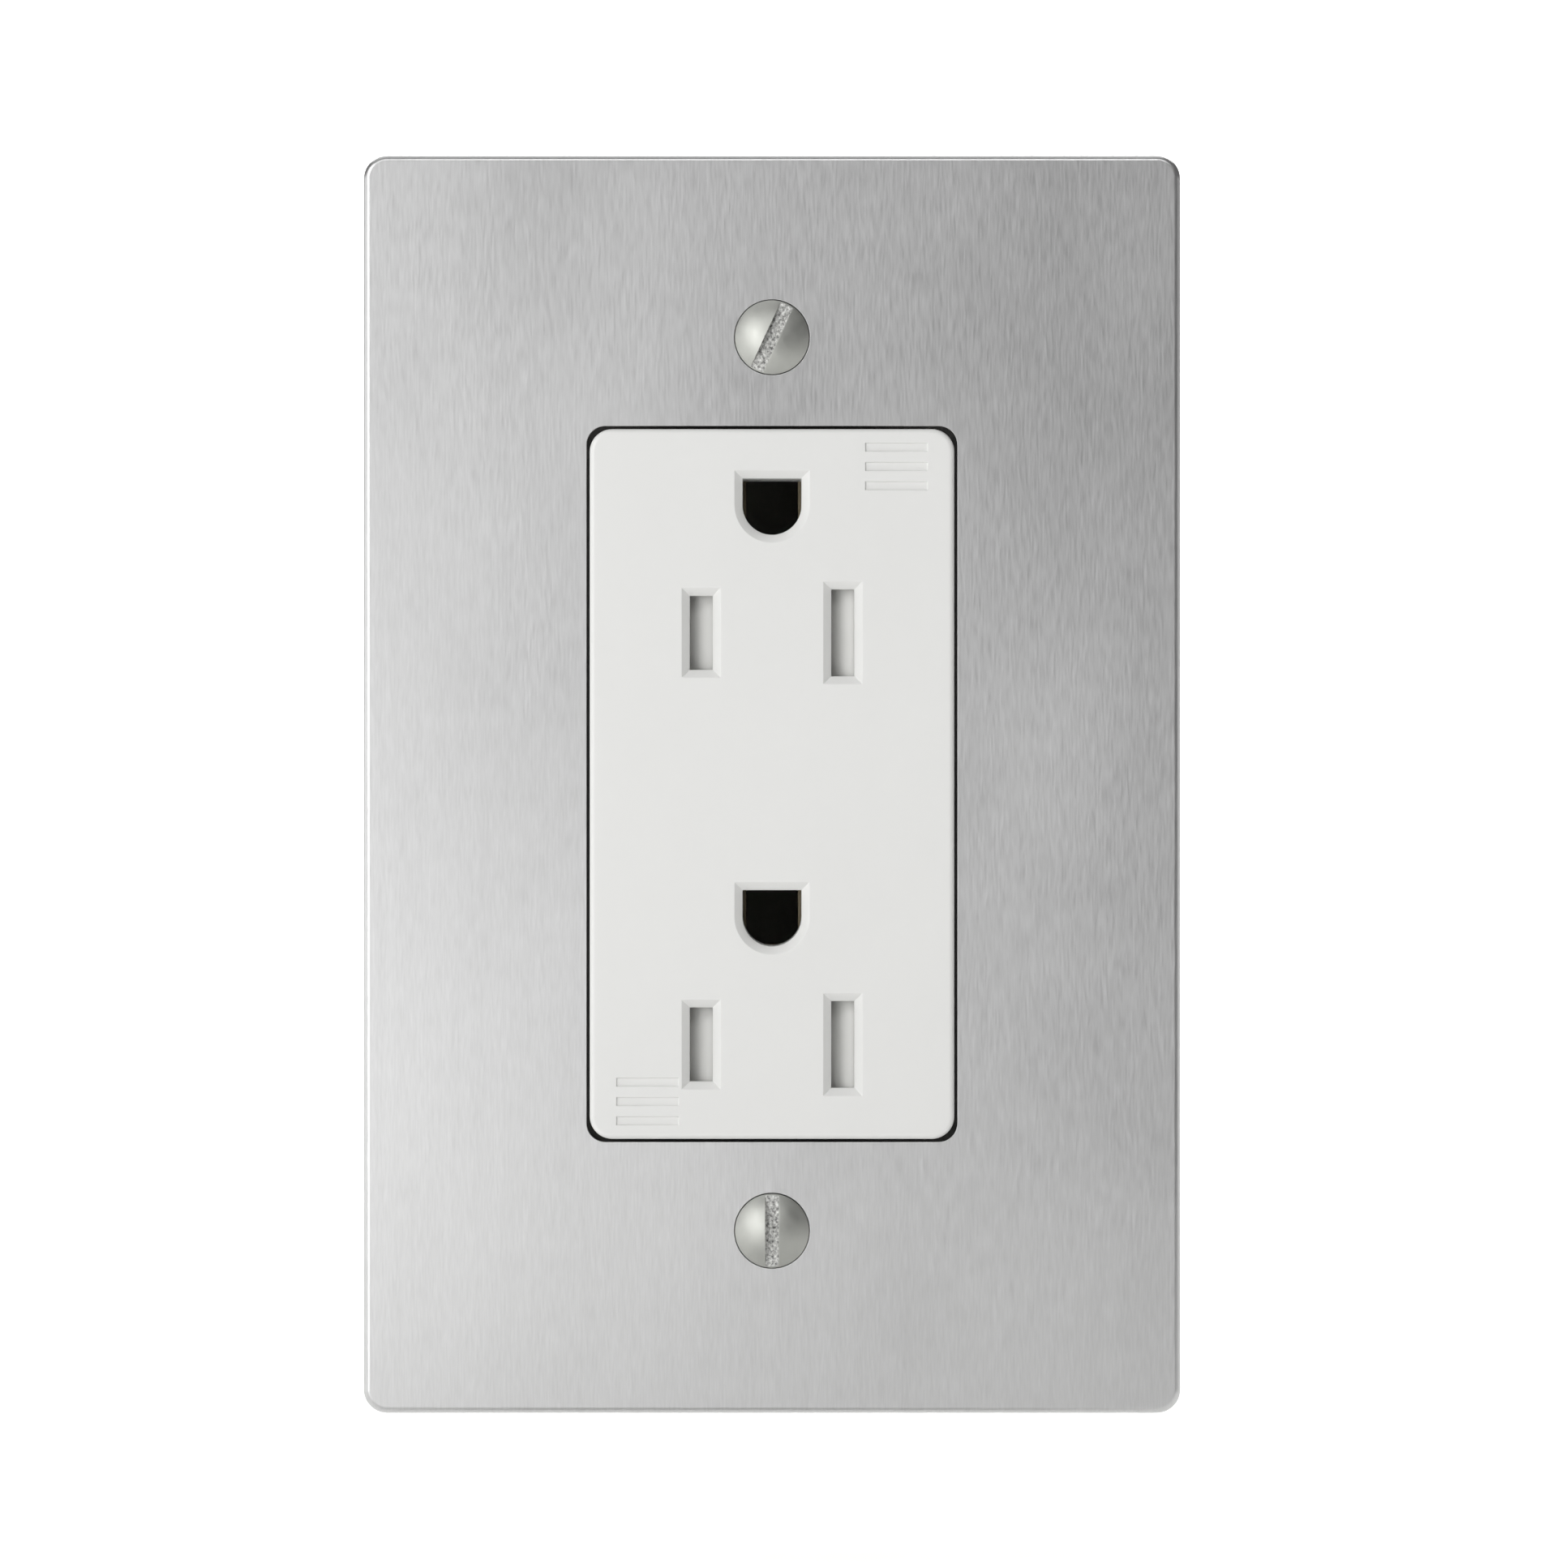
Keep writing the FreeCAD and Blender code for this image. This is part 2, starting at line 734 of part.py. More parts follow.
def face_housing():
    """The moulded face with its bevelled apertures, and the housing behind it that holds the shutters."""
    body = new_body("face_housing")
    inside = cell.face_front - cell.face_wall
    flange = rounded(cell.flange_width, cell.flange_height, cell.flange_corner)
    face = rounded(cell.face_width, cell.face_height, cell.face_corner)
    pad(body, cell.seam_front, cell.flange_front, [flange])
    pad(body, cell.flange_front, cell.face_front, [face])
    dress(body, "Fillet", cell.face_round, lambda edge: in_plane(edge, cell.face_front.value))
    wall = 2 * cell.housing_wall
    hollow = centred(cell.flange_width - wall, cell.flange_height - wall)
    pocket(body, cell.seam_front, inside, [hollow])
    for outlet in (cell.outlet_upper, cell.outlet_lower):
        pin = outlet + cell.pin_rise
        pad(body, cell.sleeve_back, inside + CLEARANCE, [pin_outline(pin, cell.sleeve_wall)])
    for end in (UPPER, LOWER):
        for side in (LEFT, RIGHT):
            place_at = cell.boss_x * side, cell.boss_z * end
            drill(body, "Additive", cell.boss_radius, cell.seam_front, inside + CLEARANCE, *place_at)
            drill(body, "Subtractive", cell.boss_hole, cell.seam_front, inside - 1, *place_at)
    pocket(body, cell.sleeve_back, cell.face_front, list(aperture_outlines()))
    dress(body, "Chamfer", cell.bevel, at_aperture)
    pocket(body, cell.seam_front, cell.rail_front, [rail_notch()])
    pocket(body, cell.face_front - cell.mark_depth, cell.face_front, list(mark_bars()))
    finish(body, "face_housing")


def shutter(label, outlet):
    """The slide behind one outlet's blade slots. Both blades press its ramps and push it to the right."""
    body = new_body(label)
    back, front, low = cell.shutter_back, cell.shutter_front, cell.shutter_front - cell.ramp_drop
    window_left = cell.blade_pitch / 2 - cell.shutter_travel - cell.shutter_window / 2
    window_right = window_left + cell.shutter_window
    right_ramp = cell.shutter_right
    # The profile is seen from below: X runs to the right and heights run back from the wall plane.
    profile = [
        (cell.shutter_left, -low),
        (cell.shutter_left + cell.ramp_run, -front),
        (window_left, -front),
        (window_left, -low),
        (window_right, -low),
        (window_right + cell.ramp_run, -front),
        (right_ramp, -front),
        (right_ramp, -back),
        (cell.shutter_left, -back),
    ]
    half = cell.shutter_half
    pad(body, outlet - half, outlet + half, [profile], "XY_Plane")
    window_half = half - cell.shutter_border
    window = rectangle(window_left, window_right, outlet - window_half, outlet + window_half)
    pocket(body, back, front, [window])
    spring_seat = cell.shutter_right - cell.spring_seat
    radius = cell.spring_radius + cell.spring_wire + 2 * CLEARANCE
    seat = rectangle(spring_seat, cell.shutter_right, outlet - radius, outlet + radius)
    pocket(body, cell.spring_front - radius, front, [seat])
    finish(body, label)


def shutter_tray(label, outlet):
    """The tray that a shutter slides on, with guides beside it and a stop for its spring."""
    wide, half = cell.tray_half_width, cell.tray_half
    low, high = outlet - half, outlet + half
    back, guide_front = cell.rail_front, cell.guide_front
    floor = block(-wide, wide, back, cell.tray_front, low, high)
    upper_guide = block(-wide, wide, cell.tray_front, guide_front, outlet + cell.guide_inner, high)
    lower_guide = block(-wide, wide, cell.tray_front, guide_front, low, outlet - cell.guide_inner)
    stop = block(cell.spring_stop, wide, cell.tray_front, cell.face_front - cell.face_wall, low, high)
    reach, window_half = cell.tray_window / 2, cell.tray_window_half
    window_low, window_high = outlet - window_half, outlet + window_half
    notch_z = outlet - cell.outlet_lower - cell.boss_z
    tools = []
    for side in (LEFT, RIGHT):
        middle = cell.blade_pitch / 2 * side
        tools.append(block(middle - reach, middle + reach, back - 1, guide_front, window_low, window_high))
        notch = back - 1, cell.face_front, cell.boss_x * side, notch_z
        tools.append(forward_rod(cell.boss_radius + CLEARANCE, *notch))
    finish(cut(fuse([floor, upper_guide, lower_guide, stop]), tools), label)


def shutter_spring(label, outlet):
    """The coil spring that pushes a shutter back over its slots."""
    start = cell.shutter_right - cell.spring_seat + cell.spring_wire + CLEARANCE
    end = cell.spring_stop - cell.spring_wire - CLEARANCE
    helix = doc.addObject("Part::Helix", "Coil")
    bind(helix, "Radius", cell.spring_radius)
    bind(helix, "Height", end - start)
    bind(helix, "Pitch", (end - start) / cell.spring_turns)
    wire = doc.addObject("Part::Circle", "Wire")
    wire.Placement = Placement(Vector(), Rotation(Vector(1, 0, 0), 90))
    bind(wire, "Radius", cell.spring_wire)
    bind(wire, "Placement.Base.x", cell.spring_radius)
    doc.recompute()
    coil = doc.addObject("Part::Sweep", "Spring")
    coil.Sections = [wire]
    coil.Spine = (helix, [])
    coil.Solid = True
    coil.Frenet = True
    coil.Placement = Placement(Vector(), Rotation(Vector(0, 1, 0), 90))
    bind(coil, "Placement.Base.x", start)
    bind(coil, "Placement.Base.y", -cell.spring_front)
    bind(coil, "Placement.Base.z", outlet)
    finish(coil, label)


# Contacts --------------------------------------------------------------------------------------------------


def bus(label, side):
    """One side's contact strip: two terminal pads joined by a break-off fin, and a jaw for each outlet."""
    outer = cell.bus_inner + cell.bus_thick
    middle = cell.blade_pitch / 2
    near, far = middle - cell.jaw_gap / 2 - cell.jaw_leaf, middle + cell.jaw_gap / 2 + cell.jaw_leaf
    foot_front = cell.jaw_back + cell.bus_thick
    front, gap = cell.bus_front, cell.bus_gap
    pads = [
        side_block(side, cell.bus_inner, outer, cell.bus_back, front, gap, cell.bus_upper_end),
        side_block(side, cell.bus_inner, outer, cell.bus_back, front, -cell.bus_lower_end, -gap),
        side_block(side, cell.bus_inner, outer, cell.fin_back, front, -gap, gap),
    ]
    jaws = []
    for outlet in (cell.outlet_upper, cell.outlet_lower):
        low, high = outlet - cell.jaw_half, outlet + cell.jaw_half
        foot_low, foot_high = outlet - cell.foot_half, outlet + cell.foot_half
        jaws.append(side_block(side, near, near + cell.jaw_leaf, cell.jaw_back, cell.jaw_front, low, high))
        jaws.append(side_block(side, far - cell.jaw_leaf, far, cell.jaw_back, cell.jaw_front, low, high))
        jaws.append(side_block(side, near, outer, cell.jaw_back, foot_front, foot_low, foot_high))
    near, far = cell.bus_inner - 1, outer + 1
    left, right = (near, far) if side == RIGHT else (-far, -near)
    tools = []
    for end in (UPPER, LOWER):
        tools.append(side_rod(cell.tapped_hole, left, right, cell.terminal_front, cell.terminal_z * end))
    nick_front = cell.fin_back + cell.nick_depth
    tools.append(block(left, right, cell.fin_back - 1, nick_front, -cell.nick_half, cell.nick_half))
    finish(cut(fuse(pads + jaws), tools), label)


def earth_bar():
    """The earth contact strip behind the rail, with two fingers for each earth pin."""
    front = cell.rail_front - cell.strap_thick
    back = front - cell.earth_bar_thick
    top = cell.outlet_upper + cell.pin_rise
    bottom = cell.outlet_lower + cell.pin_rise
    half = cell.earth_pad_half
    blocks = [block(-cell.earth_bar_half, cell.earth_bar_half, back, front, bottom - half, top + half)]
    holes = []
    for pin in (bottom, top):
        blocks.append(block(-half, half, back, front, pin - half, pin + half))
        for side in (LEFT, RIGHT):
            low, high = pin - cell.finger_half, pin + cell.finger_half
            far = cell.finger_inner + cell.finger_thick
            blocks.append(side_block(side, cell.finger_inner, far, cell.finger_back, front, low, high))
        low, high = pin - cell.earth_hole_half, pin + cell.earth_hole_half
        holes.append(block(-cell.finger_inner, cell.finger_inner, back - 1, front + 1, low, high))
    for end in (UPPER, LOWER):
        holes.append(forward_rod(cell.rivet_radius + CLEARANCE, back - 1, front + 1, 0, cell.rivet_z * end))
    finish(cut(fuse(blocks), holes), "earth_contact_bar")


def earth_rivets():
    """Two rivets that join the earth contact bar to the strap's rail."""
    front = cell.rail_front
    back = front - cell.strap_thick - cell.earth_bar_thick
    rivets = []
    for end in (UPPER, LOWER):
        along = cell.rivet_z * end
        shank = forward_rod(cell.rivet_radius, back, front, 0, along)
        front_head = forward_rod(cell.rivet_head, front, front + cell.rivet_head_thick, 0, along)
        back_head = forward_rod(cell.rivet_head, back - cell.rivet_head_thick, back, 0, along)
        rivets.append(fuse([shank, front_head, back_head]))
    group = doc.addObject("Part::Compound", "Rivets")
    group.Links = rivets
    finish(group, "earth_rivets")


# Terminals -------------------------------------------------------------------------------------------------


def clamp_plate(label, side, inner, front, along):
    """A wire clamp plate under a terminal screw, drawn flat on its own XY plane."""
    body = new_body(label)
    pad(body, 0, cell.clamp_thick, [centred(cell.clamp_side, cell.clamp_side)], "XY_Plane")
    grooves = []
    for end in (UPPER, LOWER):
        grooves.append(centred(cell.clamp_side + 1, cell.clamp_groove_width, 0, cell.clamp_groove_z * end))
    pocket(body, 0, cell.clamp_groove, grooves, "XY_Plane")
    hole = body.newObject("PartDesign::SubtractiveCylinder", "Hole")
    bind(hole, "Radius", cell.clamp_hole)
    bind(hole, "Height", cell.clamp_thick)
    doc.recompute()
    place(body, inner * side, front, along, Rotation(Vector(0, 1, 0), 90 * side))
    finish(body, label)


def terminal_screw(label, side, inner, front, along):
    """A slotted binding-head screw, drawn with its head up and the underside of the head at its origin."""
    body = new_body(label)
    bevel, crown = cell.terminal_tip, cell.terminal_crown
    top = cell.terminal_head_thick
    revolve(
        body,
        [
            (0, -cell.terminal_length),
            (cell.terminal_shank - bevel, -cell.terminal_length),
            (cell.terminal_shank, bevel - cell.terminal_length),
            (cell.terminal_shank, 0),
            (cell.terminal_head, 0),
            (cell.terminal_head, top - crown),
            (cell.terminal_head - crown, top),
            (0, top),
        ],
    )
    slot = centred(2.2 * cell.terminal_head, cell.terminal_slot)
    pocket(body, top - cell.terminal_slot_depth, top + 1, [slot], "XY_Plane")
    seat = inner + cell.clamp_thick + cell.terminal_gap
    place(body, seat * side, front, along, Rotation(Vector(0, 1, 0), 90 * side))
    finish(body, label)


def terminals():
    """A screw and its clamp plate on each outlet's two sides, and the pair on the strap's earth tab."""
    for side, polarity in ((LEFT, "hot"), (RIGHT, "neutral")):
        for end, level in ((UPPER, "upper"), (LOWER, "lower")):
            place_at = side, cell.clamp_inner, cell.terminal_front, cell.terminal_z * end
            clamp_plate(f"{polarity}_clamp_{level}", *place_at)
            terminal_screw(f"{polarity}_screw_{level}", *place_at)
    earth_inner = cell.earth_tab_x + cell.strap_thick + cell.earth_clamp_gap
    place_at = LEFT, earth_inner, cell.earth_tab_front, cell.earth_tab_z
    clamp_plate("earth_clamp", *place_at)
    terminal_screw("earth_screw", *place_at)


# Rear housing ----------------------------------------------------------------------------------------------


def rear_edge(edge):
    """Whether an edge is part of the rear housing's outline on its back face."""
    return in_plane(edge, cell.rear_back.value)


def ledges():
    """The blocks on the rear housing's floor that the feet of the two buses rest on."""
    middle = (cell.ledge_inner + cell.ledge_outer) / 2
    wide = cell.ledge_outer - cell.ledge_inner
    for outlet in (cell.outlet_upper, cell.outlet_lower):
        for side in (LEFT, RIGHT):
            yield centred(wide, 2 * cell.ledge_half, middle * side, outlet)


def side_windows(half, offset):
    """Outlines that cut windows through both side walls, above and below the middle or across it."""
    outer = cell.rear_width / 2 + 1
    inner = cell.rear_width / 2 - cell.rear_wall - CLEARANCE
    middles = [size(offset) * end for end in (UPPER, LOWER)] if size(offset).value else [size(0)]
    for side in (LEFT, RIGHT):
        left, right = (inner, outer) if side == RIGHT else (-outer, -inner)
        for middle in middles:
            yield rectangle(left, right, middle - half, middle + half)


def release_slots():
    """The shallow slots beside the wire holes, where a driver's tip goes in to free a wire."""
    for end in (UPPER, LOWER):
        for side in (LEFT, RIGHT):
            yield centred(cell.release_width, cell.release_height, cell.release_x * side, cell.terminal_z * end)


def rear_housing():
    """The moulded back: a deep tub with terminal windows, contact ribs and ledges, and screw columns."""
    body = new_body("rear_housing")
    back, front = cell.rear_back, cell.seam_front
    floor = back + cell.rear_floor
    wall = 2 * cell.rear_wall
    pad(body, back, front, [rounded(cell.rear_width, cell.flange_height, cell.rear_corner)])
    dress(body, "Chamfer", cell.rear_chamfer, rear_edge)
    pocket(body, floor, front, [centred(cell.rear_width - wall, cell.flange_height - wall)])
    ribs = []
    for side in (LEFT, RIGHT):
        near, far = cell.rib_inner * side, (cell.rib_inner + cell.rib_thick) * side
        left, right = (near, far) if side == RIGHT else (far, near)
        ribs.append(rectangle(left, right, -cell.flange_height / 2 + 1, cell.flange_height / 2 - 1))
    pad(body, floor - CLEARANCE, cell.rib_front, ribs)
    pad(body, floor - CLEARANCE, cell.jaw_back, list(ledges()))
    for end in (UPPER, LOWER):
        for side in (LEFT, RIGHT):
            place_at = cell.boss_x * side, cell.boss_z * end
            drill(body, "Additive", cell.column_radius, floor - CLEARANCE, front, *place_at)
            drill(body, "Subtractive", cell.case_screw + CLEARANCE, back, front, *place_at)
            drill(body, "Subtractive", cell.bore_radius, back, back + cell.bore_depth, *place_at)
            for step in (-1, 1):
                along = cell.terminal_z * end + cell.wire_hole_rise * step
                low = cell.terminal_front - cell.terminal_window + CLEARANCE
                drill(body, "Subtractive", cell.wire_hole, back, low, cell.wire_hole_x * side, along)
    pocket(body, cell.rail_front - cell.strap_thick, front, [rail_notch()])
    half = cell.terminal_window
    middle = cell.terminal_front
    pocket(body, middle - half, middle + half, list(side_windows(half, cell.terminal_z)))
    fin_windows = list(side_windows(cell.fin_window, 0))
    pocket(body, cell.fin_back - CLEARANCE, cell.bus_front + CLEARANCE, fin_windows)
    pocket(body, back, back + cell.release_depth, list(release_slots()))
    gauge = centred(cell.gauge_length, cell.gauge_height, 0, cell.gauge_z)
    pocket(body, back, back + cell.label_depth, [centred(cell.label_width, cell.label_height), gauge])
    finish(body, "rear_housing")


def cross_recess(back, across, along):
    """The two crossed blocks that cut a driver's recess into a screw head that faces backwards."""
    for wide, tall in ((cell.cross_half, cell.cross_thick), (cell.cross_thick, cell.cross_half)):
        left, right, low, high = across - wide, across + wide, along - tall, along + tall
        yield block(left, right, back - 1, back + cell.cross_depth, low, high)


def case_screws():
    """Four screws from the back of the rear housing into the bosses of the front one."""
    screws = []
    seat = cell.rear_back + cell.bore_depth
    for end in (UPPER, LOWER):
        for side in (LEFT, RIGHT):
            place_at = cell.boss_x * side, cell.boss_z * end
            shank = forward_rod(cell.case_screw, seat, cell.case_screw_tip, *place_at)
            head = forward_rod(cell.case_head, seat - cell.case_head_thick, seat, *place_at)
            screws.append(cut(fuse([shank, head]), cross_recess(seat - cell.case_head_thick, *place_at)))
    group = doc.addObject("Part::Compound", "CaseScrews")
    group.Links = screws
    finish(group, "case_screws")


# Assembly --------------------------------------------------------------------------------------------------


def check_document():
    """Stops the build if any object failed, or a sub-part has no valid shape."""
    doc.recompute()
    for item in doc.Objects:
        faults = {"Invalid", "Error"} & set(item.State)
        if faults:
            raise ValueError(f"{item.Label} is {', '.join(faults)}")
    for piece in nodes:
        if piece.Shape.isNull() or not piece.Shape.isValid() or not piece.Shape.Solids:
            raise ValueError(f"{piece.Label} has no valid shape")


def build():
    """Makes every sub-part, from the wall plate back to the rear housing."""
    wall_plate()
    cover_screw("cover_screw_upper", UPPER, cell.upper_slot_turn)
    cover_screw("cover_screw_lower", LOWER, cell.lower_slot_turn)
    screw_retainer("screw_retainer_upper", UPPER)
    screw_retainer("screw_retainer_lower", LOWER)
    mounting_strap()
    face_housing()
    for level, outlet in (("upper", cell.outlet_upper), ("lower", cell.outlet_lower)):
        shutter(f"shutter_{level}", outlet)
        shutter_tray(f"shutter_tray_{level}", outlet)
        shutter_spring(f"shutter_spring_{level}", outlet)
    bus("hot_bus", LEFT)
    bus("neutral_bus", RIGHT)
    earth_bar()
    earth_rivets()
    terminals()
    rear_housing()
    case_screws()


build()
check_document()
os.makedirs("parts", exist_ok=True)
for piece in nodes:
    piece.Shape.exportStep(f"parts/{piece.Label}.step")
    solids = piece.Shape.Solids
    print(f"{piece.Label}: {len(solids)} solid(s), {sum(solid.Volume for solid in solids):.1f} mm3")
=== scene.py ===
import json
import math

import bpy
from bpy.props import FloatProperty, FloatVectorProperty, IntProperty, PointerProperty
from mathutils import Matrix, Vector

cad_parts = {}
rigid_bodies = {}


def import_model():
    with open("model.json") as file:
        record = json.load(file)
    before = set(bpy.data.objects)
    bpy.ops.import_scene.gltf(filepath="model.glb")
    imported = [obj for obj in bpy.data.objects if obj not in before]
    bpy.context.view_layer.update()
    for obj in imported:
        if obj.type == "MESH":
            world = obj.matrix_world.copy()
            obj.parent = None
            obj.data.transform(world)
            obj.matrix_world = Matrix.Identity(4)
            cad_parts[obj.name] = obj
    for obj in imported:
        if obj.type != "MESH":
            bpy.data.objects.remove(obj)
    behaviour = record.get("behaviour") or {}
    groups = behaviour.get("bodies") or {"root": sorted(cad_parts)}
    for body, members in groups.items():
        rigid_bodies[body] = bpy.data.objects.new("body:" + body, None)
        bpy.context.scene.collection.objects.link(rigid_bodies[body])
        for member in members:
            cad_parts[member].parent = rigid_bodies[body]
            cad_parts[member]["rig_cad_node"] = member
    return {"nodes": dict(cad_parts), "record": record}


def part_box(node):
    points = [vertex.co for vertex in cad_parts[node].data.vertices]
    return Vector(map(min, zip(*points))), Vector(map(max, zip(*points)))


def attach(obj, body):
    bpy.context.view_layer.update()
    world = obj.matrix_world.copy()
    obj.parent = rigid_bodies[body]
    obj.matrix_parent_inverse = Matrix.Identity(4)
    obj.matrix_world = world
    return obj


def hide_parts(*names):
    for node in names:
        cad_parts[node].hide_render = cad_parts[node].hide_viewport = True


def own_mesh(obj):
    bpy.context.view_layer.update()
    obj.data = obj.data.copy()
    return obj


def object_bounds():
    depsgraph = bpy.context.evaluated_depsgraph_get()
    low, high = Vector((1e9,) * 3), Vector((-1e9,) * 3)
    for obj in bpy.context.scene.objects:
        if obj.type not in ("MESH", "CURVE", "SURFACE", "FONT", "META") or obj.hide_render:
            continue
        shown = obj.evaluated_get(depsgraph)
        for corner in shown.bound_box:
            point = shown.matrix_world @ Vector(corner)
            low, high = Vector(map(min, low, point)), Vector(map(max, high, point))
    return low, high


# Looks of a brushed steel wall plate and the shuttered duplex receptacle that it covers. Metres. +Z is up,
# +X is to the right of a person who faces the plate, and the front faces -Y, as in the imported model.

bl_info = {
    "name": "Wall plate cover",
    "version": (1, 0, 0),
    "blender": (4, 5, 0),
    "location": "3D View > Sidebar > Wall Plate",
    "description": "Models a brushed steel wall plate, its screws and the receptacle behind it",
    "category": "Object",
}

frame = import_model()
cad_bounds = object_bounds()

MM = 0.001
RIGHT, LEFT = 1, -1
LEVELS = ("upper", "lower")

# Points closer than this are one point: in new pieces, and in the CAD nodes' loose triangles.
SAME_POINT = 1e-7
SAME_CAD_POINT = 2e-6
# A slot's cutter is this many head radii long, so that it runs out at both sides of the head.
CUTTER_REACH = 2.4


def linear(code):
    """Linear RGB from an sRGB hex colour."""
    channels = [int(code[start : start + 2], 16) / 255 for start in (1, 3, 5)]
    return tuple(c / 12.92 if c <= 0.04045 else ((c + 0.055) / 1.055) ** 2.4 for c in channels)


# Settings --------------------------------------------------------------------------------------------------


def colour(name, description, code):
    """A colour setting with an sRGB hex default."""
    return FloatVectorProperty(
        name=name, description=description, subtype="COLOR", size=3, min=0, max=1, default=linear(code)
    )


def length(name, description, millimetres):
    """A length setting with its default in millimetres."""
    return FloatProperty(
        name=name, description=description, unit="LENGTH", min=0, precision=6, default=millimetres * MM
    )


def lean(name, description, degrees):
    """An angle setting with its default in degrees."""
    return FloatProperty(name=name, description=description, subtype="ANGLE", default=math.radians(degrees))


def wattage(name, description, watts):
    """A light's power setting with its default in watts."""
    return FloatProperty(name=name, description=description, unit="POWER", min=0, default=watts)


class WALLPLATE_PG_plate(bpy.types.PropertyGroup):
    """Finish of the wall plate."""

    steel: colour("Steel", "Colour of the brushed stainless steel", "#C9C9C9")
    grain_width: length("Grain width", "Width of one brush line, drawn coarse enough to show", 0.18)
    grain_length: length("Grain length", "Length of one brush line", 2.3)
    edge: length("Edge break", "Width of the deburred edge of the opening", 0.025)


class WALLPLATE_PG_screws(bpy.types.PropertyGroup):
    """Cover screws and terminal screws."""

    steel: colour("Polished steel", "Colour of the cover screws", "#BCBDB8")
    slot_floor: colour("Slot floor", "Colour of the milled steel in a slot", "#D8D8D5")
    upper_turn: lean("Upper slot turn", "How far the upper screw's slot leans right of upright", 25)
    lower_turn: lean("Lower slot turn", "How far the lower screw's slot leans right of upright", 0)
    slot_width: length("Slot width", "Width of the cover screws' slots", 1.25)
    slot_depth: length("Slot depth", "Depth of the slots below the top of the dome", 1.0)
    dome: length("Dome", "Rise of the domed head above its rim", 1.13)
    rim: length("Rim", "Height of the head's rim above the plate", 0.12)
    seat: length("Seat", "Depth of the conical seat under the head", 2.05)
    thread_radius: length("Thread radius", "Outer radius of the cover screws' threads", 1.7)
    cover_pitch: length("Cover screw pitch", "Thread pitch of the cover screws", 0.794)
    thread_depth: length("Thread depth", "Depth of the threads", 0.4)
    edge: length("Head edge", "Width of the broken edges of a cover screw", 0.05)
    terminal_head: length("Terminal head", "Thickness of a terminal screw's head", 2.1)
    terminal_radius: length("Terminal thread radius", "Outer radius of the terminal screws' threads", 2.05)
    terminal_round: length("Terminal round", "Round at the rim of a terminal screw's head", 0.55)
    terminal_slot_width: length("Terminal slot width", "Width of a terminal screw's slot", 1.2)
    terminal_slot_depth: length("Terminal slot depth", "Depth of a terminal screw's slot", 1.1)
    terminal_edge: length("Terminal edge", "Width of the broken edges of a terminal screw", 0.07)


class WALLPLATE_PG_plastics(bpy.types.PropertyGroup):
    """Moulded plastics and fibre."""

    face: colour("Face", "Colour of the receptacle's white face", "#E5E5E3")
    # The gap colour is painted shade, put on the flange's front ring where the deep narrow gap round the face
    # lies in shadow.
    gap_shade: colour("Gap shade", "Colour of the painted shade in the gap round the face", "#2E2D2B")
    flange: length("Flange depth", "How far the flange round the face lies behind the face", 2.4)
    shutter: colour("Shutters", "Colour of the shutters", "#D4D4D1")
    tray: colour("Trays", "Colour of the shutter trays", "#C9C9C4")
    rear: colour("Rear housing", "Colour of the rear housing", "#D3D2CD")
    fibre: colour("Fibre", "Colour of the vulcanised fibre washers", "#7E2A20")
    edge: length("Edge round", "Radius of the moulded plastic's sharpest edges", 0.09)
    fibre_edge: length("Fibre edge", "Width of the fibre washers' rubbed edges", 0.06)


class WALLPLATE_PG_metals(bpy.types.PropertyGroup):
    """Strap, contacts, clamps and springs."""

    zinc: colour("Zinc", "Colour of zinc-plated steel", "#C3C7CA")
    brass: colour("Brass", "Colour of the stamped brass", "#D5B06B")
    # Partly painted shade: the earth contacts' brass is tarnished and also darkened, so that they read as
    # dark as the shade deep in the earth hole.
    tarnish_and_shade: colour("Tarnished and shaded brass", "Colour of the unpolished brass of the earth contacts", "#7A6C50")
    nickel: colour("Nickel", "Colour of nickel-plated brass", "#C9C4B8")
    green: colour("Green dye", "Colour of the dyed earth screw", "#3F8F5B")
    spring: colour("Spring steel", "Colour of the spring wire", "#B9B9BC")
    edge: length("Edge break", "Width of a stamped part's broken edges", 0.12)
    rivet_edge: length("Rivet round", "Round at the rim of a rivet's head", 0.3)
    case_screw_edge: length("Case screw edge", "Width of the broken edges of a case screw", 0.08)
    spring_wire: length("Spring wire", "Radius of the wire of a shutter spring", 0.16)
    spring_radius: length("Spring radius", "Outer radius of a shutter spring", 1.31)
    coils: IntProperty(name="Coils", description="Turns of wire in a shutter spring", min=2, default=7)


class WALLPLATE_PG_stage(bpy.types.PropertyGroup):
    """Floor, lights and camera."""

    floor: colour("Floor", "Colour of the floor and backdrop", "#FCFCFB")
    view_width: length("View width", "Width of what the camera sees at the plate", 143.8)
    distance: length("Camera distance", "Distance from the camera to the plate", 900)
    key_power: wattage("Key light", "Power of the left softbox", 3.2)
    fill_power: wattage("Fill light", "Power of the soft fill", 2.0)
    side_power: wattage("Side strip", "Power of the strip at the left", 1.3)
    edge_power: wattage("Edge strip", "Power of the weak strip at the right", 0.4)
    top_power: wattage("Top strip", "Power of the strip above the plate", 1.2)
    backdrop_power: wattage("Backdrop light", "Power of the light on the backdrop", 82)
    ambient: FloatProperty(
        name="Ambient", description="Strength of the even light all round", min=0, default=0.14
    )
    drop: length("Drop", "How far the floor lies below the plate", 16)
    floor_width: length("Floor width", "Width of the floor", 8000)
    floor_run: length("Floor run", "Length of the floor from front to back", 3200)
    floor_middle: length("Floor middle", "How far the floor's middle lies behind the wall plane", 1350)
    wall_height: length("Wall height", "Height of the backdrop's wall", 4000)
    wall_curve: length("Wall curve", "Size of the curve between floor and wall", 1200)


# Mesh helpers ----------------------------------------------------------------------------------------------


